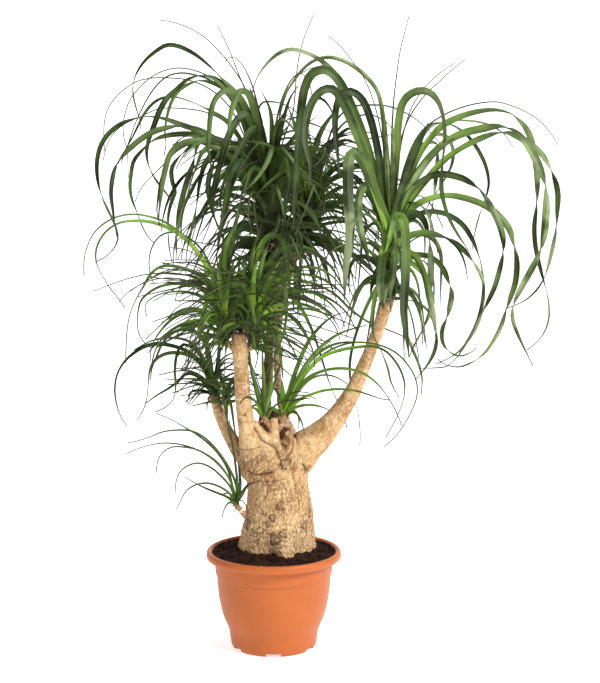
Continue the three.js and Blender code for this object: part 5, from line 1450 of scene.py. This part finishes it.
def build_trunk(settings):
    limbs = [tube(path, radii, LIMB_SIDES, LIMB_STEP) for _, path, radii in LIMBS.values()]
    points, faces = merged([swollen_base(), *limbs])
    trunk = place_in_scene("trunk_bark", mesh_of("trunk_bark", points, faces))
    fused = trunk.modifiers.new("fused", "REMESH")
    fused.mode = "VOXEL"
    fused.voxel_size = TRUNK_GRAIN * MM
    eased = trunk.modifiers.new("eased", "SMOOTH")
    eased.factor, eased.iterations = TRUNK_EASING
    settled(trunk)
    mesh = trunk.data
    places = read_vectors(mesh.vertices, "co") / MM
    normals = read_vectors(mesh.vertex_normals, "vector")
    kinds, grain = wood_fields(places)
    raised, dark, moss, stain = bark_marks(places)
    mesh.vertices.foreach_set("co", ((places + normals * raised[:, None]) * MM).ravel())
    mesh.update()
    old_wood = 1 - smooth_share(places[:, 2] + OLD_WOOD_TILT * places[:, 0], *OLD_WOOD)
    for name, kind in BARK_KINDS.items():
        share = (kinds == kind).astype(float) * (1 - old_wood * (name == "arm"))
        set_attribute(mesh, name, evened(mesh, share, KIND_BLEND))
    # The first of these holds the knots' dark rings and the painted shade of knots, folds and hollows
    for name, amounts in (("knot_rings_and_painted_shade", dark), ("moss", moss), ("stain", stain)):
        set_attribute(mesh, name, amounts)
    set_attribute(mesh, "grain", grain * MM, "FLOAT_VECTOR")
    bpy.data.objects.remove(trunk)
    finished = grown("trunk_bark", mesh, bark_tree(), {
        "Relief": settings.relief, "Material": bark_finish(settings)})
    finish_piece(finished, "bark", "trunk")


# Heads of leaves

def leaf_tree():
    growth = Growth("Ribbon leaves", {
        "Thickness": "NodeSocketFloat", "Channel": "NodeSocketFloat", "Material": "NodeSocketMaterial"})
    curve = growth.node("GeometryNodeMeshToCurve", {}, {"Mesh": growth.given("Geometry")})
    curve = growth.node("GeometryNodeSetCurveNormal", {"mode": "FREE"}, {
        "Curve": curve, "Normal": growth.attribute("side", "FLOAT_VECTOR")})
    section = growth.node("GeometryNodeCurvePrimitiveCircle", {"mode": "RADIUS"}, {
        "Resolution": 8, "Radius": 1.0})
    spot = growth.node("GeometryNodeInputPosition", {}, {})
    across = (growth.component(spot, 0) * 1.35).math("MINIMUM", 1.0).math("MAXIMUM", -1.0)
    up = growth.component(spot, 1)
    section = growth.store(section, "across", across)
    section = growth.store(section, "upper", up)
    flat = growth.node("ShaderNodeCombineXYZ", {}, {0: across, 1: up * 0.045, 2: 0.0})
    section = growth.node("GeometryNodeSetPosition", {}, {"Geometry": section, "Position": flat})
    half = growth.attribute("half_width")
    blades = growth.node("GeometryNodeCurveToMesh", {}, {
        "Curve": curve, "Profile Curve": section, "Scale": half, "Fill Caps": True})
    along = growth.attribute("along")
    bent = abs(growth.attribute("across"))
    channel = along.smooth(0.0, 0.3, 0.55, 0.0) + growth.given("Channel")
    depth = growth.given("Thickness") * (half.smooth(0.0034, 0.0014) * 2.0 + 1.0)
    rise = bent * half * channel + growth.attribute("upper") * depth * 0.5
    blades = growth.moved(blades, growth.scaled(growth.attribute("face", "FLOAT_VECTOR"), rise))
    crease = growth.above(abs(bent - 0.47), 0.4)
    blades = growth.node("GeometryNodeSetShadeSmooth", {"domain": "EDGE"}, {
        "Geometry": blades, "Selection": crease, "Shade Smooth": False})
    return growth.finish(blades)


def column_of(head):
    """The column of leaf bases that continues a limb: its points and radii."""
    _, path, _ = LIMBS[head["limb"]]
    line = spread(path, 40)
    forward = unit(line[-1] - line[-3])
    inside, past = COLUMN_LAP
    points = [line[-1] - forward * inside, line[-1] + forward * past, *np.asarray(head["column"], float)]
    girth = [head["girth"][0], *head["girth"]]
    girth += [girth[-1]] * (len(points) - len(girth))
    return np.asarray(points), girth


def shown_turns(points, sides, faces):
    """The turns that show a blade's face to the photograph's camera."""
    sight = unit(points - np.array(CAMERA_PLACE))
    turns = np.arctan2(-(sides * sight).sum(axis=1), (faces * sight).sum(axis=1))
    return np.unwrap(2 * turns) / 2


def blade(line, width, roll, twist, tone, fresh_and_lit=1.0, dry=0.0, shown=False, twist_from=LEAF["twist_from"],
          taper=LEAF["taper"]):
    """One leaf as stations along its middle line. A blade that is `shown` rolls from the camera's view."""
    count = int(np.clip(path_length(line) / LEAF["step"], LEAF["fewest"], LEAF["most"]))
    points = spread(line, count)
    reach = points[-1] - points[0]
    heading = math.atan2(reach[1], reach[0])
    along, sides = carried_sides(points, (-math.sin(heading), math.cos(heading), 0))
    shares = np.linspace(0, 1, count)
    length = path_length(points)
    turned_share = np.clip((shares - twist_from) / (1 - twist_from), 0, 1)
    wave = LEAF["wave"] * np.sin(shares * length / LEAF["wave_length"] + 9 * tone)
    faces = np.cross(along, sides)
    turns = np.radians(roll + twist * turned_share ** 1.15 + wave)
    if shown:
        turns = turns - LEAF["dwell"] * np.sin(2 * turns) + shown_turns(points, sides, faces)
    turns = turns[:, None]
    turned_sides = sides * np.cos(turns) + faces * np.sin(turns)
    clasp = 1 + LEAF["clasp"] * np.exp(-shares * length / LEAF["clasp_length"])
    half = width / 2 * clasp * (1 - shares ** taper)
    half = np.maximum(half, LEAF["thinnest"] * (1.15 - 0.6 * shares))
    return {"points": points, "side": turned_sides, "face": unit(np.cross(along, turned_sides)), "half": half,
            "along": shares, "tone": tone, "fresh_and_lit": fresh_and_lit, "dry": dry}


def seen_blade(leaf, column, shades, breadth, draws):
    """A leaf that is followed in the photograph, rooted on its column."""
    width, lean, twist, tip_depth, *pixels = leaf
    if width < LEAF["fine"]:
        lean = LEAF["fine_lean"]
    pixels = np.asarray(pixels, float).reshape(-1, 2)
    axis = spread(column, COLUMN_SAMPLES)[BARE_FOOT:]
    start = seen_place(*pixels[0], axis[:, 1].mean())
    root = axis[np.argmin(np.linalg.norm((axis - start)[:, [0, 2]], axis=1))]
    walked = np.concatenate([[0], np.cumsum(np.linalg.norm(np.diff(pixels, axis=0), axis=1))])
    shares = walked / walked[-1]
    depths = root[1] + (tip_depth - root[1]) * shares ** 1.15
    points = np.array([seen_place(u, v, depth) for (u, v), depth in zip(pixels, depths)])
    points[0] = root
    roll = math.copysign(90 - abs(lean), lean) + (180 if draws.random() < 0.5 else 0)
    taper = LEAF["broad_taper"] if width >= LEAF["broad"] else LEAF["taper"]
    return blade(points, width * breadth, roll, twist, mix(*shades, draws.random()),
                 shown=True, taper=taper)


def ruled_line(root, azimuth, rise, fall, length, sweep, bend_end=0.9):
    """The middle line of a leaf that leaves its root at one pitch and bends to another."""
    steps = LEAF["ruled_steps"]
    shares = (np.arange(steps) + 0.5) / steps
    low, high = LEAF["bend_start"], bend_end
    bent = np.clip((shares - low) / (high - low), 0, 1)
    bent = bent ** 3 * (bent * (bent * 6 - 15) + 10)
    pitch = np.radians(rise + (fall - rise) * bent)
    heading = np.radians(azimuth + sweep * shares ** 2)
    level = np.cos(pitch)
    strides = np.stack([level * np.cos(heading), level * np.sin(heading), np.sin(pitch)], axis=1)
    return np.vstack([root, root + np.cumsum(strides * length / steps, axis=0)])


def ruled_blade(head, column, girth, index, draws, clear_of_wood):
    """A leaf placed by its head's rule, drawn again while it crosses wood or leaves the plant's space."""
    def stray(size):
        return (draws.random() - 0.5) * 2 * size

    age = 1 - (index + 0.5) / head["leaves"]
    place = mix(LEAF["top_root"], LEAF["low_root"], age ** 1.15)
    axis = spread(column, 60)
    middle = axis[int(place * (len(axis) - 1))]
    reach = float(values_along(girth, place))
    for attempt in range(LEAF["tries"]):
        strain = attempt / LEAF["tries"]
        loose = {key: first + added * strain for key, (first, added) in STRAY.items()}
        azimuth = head["facing"] + index * GOLDEN_ANGLE + stray(loose["azimuth"])
        rise = mix(head["rise"][1], head["rise"][0], age) + stray(loose["rise"])
        fall = mix(head["fall"][1], head["fall"][0], age) + stray(loose["fall"])
        fullness = 1 - 1.3 * abs(age - LEAF["longest_age"])
        length = mix(*head["length"], fullness * mix(0.3, 1.1, draws.random())) * (1 - 0.4 * strain)
        length *= 1 - 0.3 * abs(math.cos(math.radians(azimuth)))
        root = middle + level_direction(azimuth) * max(0.0, reach - LEAF["sunk"])
        sweep = stray(STRAY_SWEEP)
        line = ruled_line(root, azimuth, rise, fall, length, sweep, mix(*LEAF["bend_end"], draws.random()))
        if clear_of_wood(line[3:]):
            # Ruled leaves fill the heart of the head: their tones come from the darker part of the range and
            # old ones lose the pale base, partly their age and partly painted shade
            return blade(line, mix(*head["width"], draws.random()), stray(STRAY_ROLL),
                         stray(STRAY_TWIST * length), mix(*head["shades"], 0.7 * draws.random()),
                         fresh_and_lit=max(0.0, 1 - 1.5 * age), shown=True, twist_from=LEAF["ruled_twist_from"],
                         taper=LEAF["ruled_taper"])
    return None


def dry_blades(column, girth, draws):
    """Short brown remains of old leaves round the foot of a column."""
    axis = spread(column, 30)
    blades = []
    for i in range(DRY_BASES["few"] if girth[0] < DRY_BASES["slim"] else DRY_BASES["many"]):
        middle = axis[int(mix(*DRY_BASES["foot"], draws.random()))]
        azimuth = i * GOLDEN_ANGLE + DRY_BASES["stray"] * draws.random()
        root = middle + level_direction(azimuth) * (girth[0] - DRY_BASES["sunk"])
        length = mix(*DRY_BASES["length"], draws.random())
        rise = mix(*DRY_BASES["rise"], draws.random())
        fall = mix(*DRY_BASES["fall"], draws.random())
        line = ruled_line(root, azimuth, rise, fall, length, DRY_BASES["sweep"])
        width = mix(*DRY_BASES["width"], draws.random()) * girth[0] / DRY_BASES["full_girth"]
        roll = DRY_BASES["roll"] * (draws.random() - 0.5)
        twist = DRY_BASES["twist"] * (draws.random() - 0.5)
        blades.append(blade(line, width, roll, twist, draws.random(), dry=1.0))
    return blades


def wood_test():
    """A test that a line keeps clear of the trunk, the pot and the edges of the plant's space."""
    lines = [(line, reach) for _, line, reach, _, _ in limb_axes()]
    wood = np.vstack([line for line, _ in lines])
    reach = np.concatenate([r for _, r in lines])
    low, high = (np.array(corner) / MM for corner in CAD_BOUNDS)

    def clear(line):
        if line[:, 2].min() < LEAF["lowest_tip"] or np.any(line < low) or np.any(line > high):
            return False
        for corner, far_corner in CLEARINGS:
            if np.all((line > corner) & (line < far_corner), axis=1).any():
                return False
        gaps = np.linalg.norm(line[:, None, :] - wood[None, :, :], axis=2) - reach[None, :]
        from_base = np.hypot(line[:, 0] - KEPT_BASE["middle"], line[:, 1])
        in_base = from_base < np.where(line[:, 2] < KEPT_BASE["top"], KEPT_BASE["radius"], 0)
        return gaps.min() > WOOD_GAP and not in_base.any()

    return clear


def lines_mesh(name, blades):
    """The middle lines of leaves as edges, with what the geometry tree needs at each point."""
    edges = []
    total = 0
    for leaf in blades:
        count = len(leaf["points"])
        edges += [(total + i, total + i + 1) for i in range(count - 1)]
        total += count
    mesh = mesh_of(name, np.vstack([leaf["points"] for leaf in blades]), edges=edges)
    for key in ("side", "face"):
        set_attribute(mesh, key, np.vstack([leaf[key] for leaf in blades]), "FLOAT_VECTOR")
    set_attribute(mesh, "half_width", np.concatenate([leaf["half"] for leaf in blades]) * MM)
    set_attribute(mesh, "along", np.concatenate([leaf["along"] for leaf in blades]))
    for key in ("tone", "fresh_and_lit", "dry"):
        set_attribute(mesh, key, np.concatenate([np.full(len(leaf["points"]), leaf[key]) for leaf in blades]))
    return mesh


def column_piece(name, column, girth, material):
    """The column of packed leaf bases inside a head."""
    points, faces = tube(column, girth, COLUMN_SIDES, COLUMN_STEP)
    mesh = mesh_of(name, points, faces)
    heights = np.asarray(points)[:, 2]
    set_attribute(mesh, "along", 0.03 + 0.14 * smooth_share(-heights, -heights.max(), -heights.min()))
    # A low tone and little pale base paint the column dark, as painted shade in the heart of the head
    for key, value in (("across", 0.5), ("upper", 1), ("tone", 0.1), ("fresh_and_lit", 0.15)):
        set_attribute(mesh, key, np.full(len(heights), value))
    set_attribute(mesh, "dry", 0.9 * smooth_share(-heights, -heights.min() - DRY_FOOT, -heights.min()))
    mesh.materials.append(material)
    mesh.shade_smooth()
    return place_in_scene(name, mesh)


def build_head(name, head, tree, settings, material, clear_of_wood):
    draws = random.Random(head["seed"])
    column, girth = column_of(head)
    breadth = head.get("breadth", LEAF["seen_breadth"])
    shades = head.get("seen_shades", head["shades"])
    blades = [seen_blade(leaf, column, shades, breadth, draws) for leaf in head["seen"]]
    for index in range(head["leaves"]):
        leaf = ruled_blade(head, column, girth, index, draws, clear_of_wood)
        if leaf:
            blades.append(leaf)
    blades += dry_blades(column, girth, draws)
    leaves = grown(f"{name}_leaves", lines_mesh(name, blades), tree, {
        "Thickness": settings.thickness, "Channel": settings.channel, "Material": material})
    core = column_piece(f"{name}_column", column, girth, material)
    joined(leaves, core)
    slot = "young_leaf" if name.startswith("tuft_centre") else "leaf"
    finish_piece(leaves, slot, name)


def build_heads(settings):
    tree = leaf_tree()
    finishes = {
        # The last number of each finish is how much painted sheen its leaves carry
        "broad": leaf_finish("Broad ribbon leaf", settings.broad_colour, tint(138, 174, 74), 0.38, 0.95),
        "grown": leaf_finish("Ribbon leaf", settings.colour, tint(130, 178, 34), 0.42, 0.1),
        # The fresh finish is a brighter copy for the middle heads: partly their yellower green, partly
        # painted light against the shade that falls on them
        "fresh_and_lit": leaf_finish("Fresh ribbon leaf", settings.fresh_and_lit_colour, tint(196, 244, 84), 0.4, 0.1),
        "young": leaf_finish("Young ribbon leaf", settings.young_colour, tint(122, 166, 34), 0.42, 0.0),
    }
    clear_of_wood = wood_test()
    for name, head in HEADS.items():
        build_head(name, head, tree, settings, finishes[head.get("finish", "grown")], clear_of_wood)


# Stage

def paper_finish():
    surface = Surface("Pale paper", 0.9, 0.1)
    surface.shader.inputs["Base Color"].default_value = (0.8, 0.8, 0.8, 1)
    surface.shader.inputs["Emission Strength"].default_value = 1.0
    depth = surface.component(surface.place, 1)
    near, far = ((glow, glow, glow) for glow in PAPER_GLOW)
    surface.feed("Emission Color", surface.mixed(depth.smooth(*GLOW_DEPTHS), near, far))
    return surface.material


def build_paper():
    """A pale floor that curves up into a backdrop."""
    back, bend, half_width = PAPER["back"], PAPER["bend"], PAPER["half_width"]
    profile = [[PAPER["front"], 0], [back, 0]]
    for turn in np.linspace(0.1, math.pi / 2, 16):
        profile.append([back + bend * math.sin(turn), bend - bend * math.cos(turn)])
    profile.append([back + bend, PAPER["top"]])
    points = [[x, y, z] for y, z in profile for x in (-half_width, half_width)]
    faces = [[2 * i, 2 * i + 1, 2 * i + 3, 2 * i + 2] for i in range(len(profile) - 1)]
    mesh = mesh_of("floor", points, faces)
    mesh.materials.append(paper_finish())
    mesh.shade_smooth()
    place_in_scene("floor", mesh)


def build_light(scene):
    """An even pale world and the lamps of the studio."""
    world = bpy.data.worlds.new("Soft studio")
    world.use_nodes = True
    world.node_tree.nodes["Background"].inputs["Color"].default_value = (1, 1, 1, 1)
    world.node_tree.nodes["Background"].inputs["Strength"].default_value = WORLD_LIGHT
    scene.world = world
    for name, (place, size, power) in LAMPS.items():
        lamp = bpy.data.lights.new(name, "AREA")
        lamp.shape = "DISK"
        lamp.size = size
        lamp.energy = power
        light = bpy.data.objects.new(name, lamp)
        light.location = place
        light.rotation_euler = (Vector(LAMP_AIM) - Vector(place)).to_track_quat("-Z", "Y").to_euler()
        scene.collection.objects.link(light)


def build_camera(scene):
    """The camera that sees what the photograph shows."""
    camera_data = bpy.data.cameras.new("photo_camera")
    camera_data.sensor_width = FILM
    camera_data.lens = FOCAL_PIXELS * FILM / PHOTO_HEIGHT
    camera = bpy.data.objects.new("photo_camera", camera_data)
    camera.location = Vector(CAMERA_PLACE) * MM
    camera.rotation_euler = (math.radians(90 - CAMERA_PITCH), 0, 0)
    scene.collection.objects.link(camera)
    scene.camera = camera


def build_stage():
    scene = bpy.context.scene
    scene.view_settings.view_transform = "Standard"
    build_paper()
    build_light(scene)
    build_camera(scene)


class PALM_OT_stage(bpy.types.Operator):
    """Adds the pale floor, the studio light and the camera"""
    bl_idname = "palm.stage"
    bl_label = "Stage"

    def execute(self, context):
        build_stage()
        return {"FINISHED"}


class PALM_OT_pot(bpy.types.Operator):
    """Builds the moulded pot with its rolled rim, band, foot channels and drain holes"""
    bl_idname = "palm.pot"
    bl_label = "Pot"

    def execute(self, context):
        build_pot(context.scene.palm.pot)
        return {"FINISHED"}


class PALM_OT_soil(bpy.types.Operator):
    """Fills the pot with crumbly soil"""
    bl_idname = "palm.soil"
    bl_label = "Soil"

    def execute(self, context):
        build_soil(context.scene.palm.soil)
        return {"FINISHED"}


class PALM_OT_trunk(bpy.types.Operator):
    """Grows the swollen base and its limbs as one piece of bark"""
    bl_idname = "palm.trunk"
    bl_label = "Trunk"

    def execute(self, context):
        build_trunk(context.scene.palm.bark)
        return {"FINISHED"}


class PALM_OT_heads(bpy.types.Operator):
    """Grows every head of ribbon leaves on its limb"""
    bl_idname = "palm.heads"
    bl_label = "Heads of leaves"

    def execute(self, context):
        build_heads(context.scene.palm.leaf)
        return {"FINISHED"}


class PALM_PT_plant(bpy.types.Panel):
    bl_label = "Ponytail palm"
    bl_idname = "PALM_PT_plant"
    bl_space_type = "VIEW_3D"
    bl_region_type = "UI"
    bl_category = "Plant"

    def draw(self, context):
        palm = context.scene.palm
        for settings, operator in ((palm.pot, PALM_OT_pot), (palm.soil, PALM_OT_soil),
                                   (palm.bark, PALM_OT_trunk), (palm.leaf, PALM_OT_heads)):
            box = self.layout.box()
            for name in settings.__annotations__:
                box.prop(settings, name)
            box.operator(operator.bl_idname)
        self.layout.operator(PALM_OT_stage.bl_idname)


CLASSES = (PotSettings, SoilSettings, BarkSettings, LeafSettings, PalmSettings, PALM_OT_stage, PALM_OT_pot,
           PALM_OT_soil, PALM_OT_trunk, PALM_OT_heads, PALM_PT_plant)


def register():
    for entry in CLASSES:
        bpy.utils.register_class(entry)
    bpy.types.Scene.palm = PointerProperty(type=PalmSettings)


def unregister():
    del bpy.types.Scene.palm
    for entry in reversed(CLASSES):
        bpy.utils.unregister_class(entry)


def main():
    register()
    bpy.ops.palm.stage()
    bpy.ops.palm.pot()
    bpy.ops.palm.soil()
    bpy.ops.palm.trunk()
    bpy.ops.palm.heads()


if __name__ == "__main__":
    main()
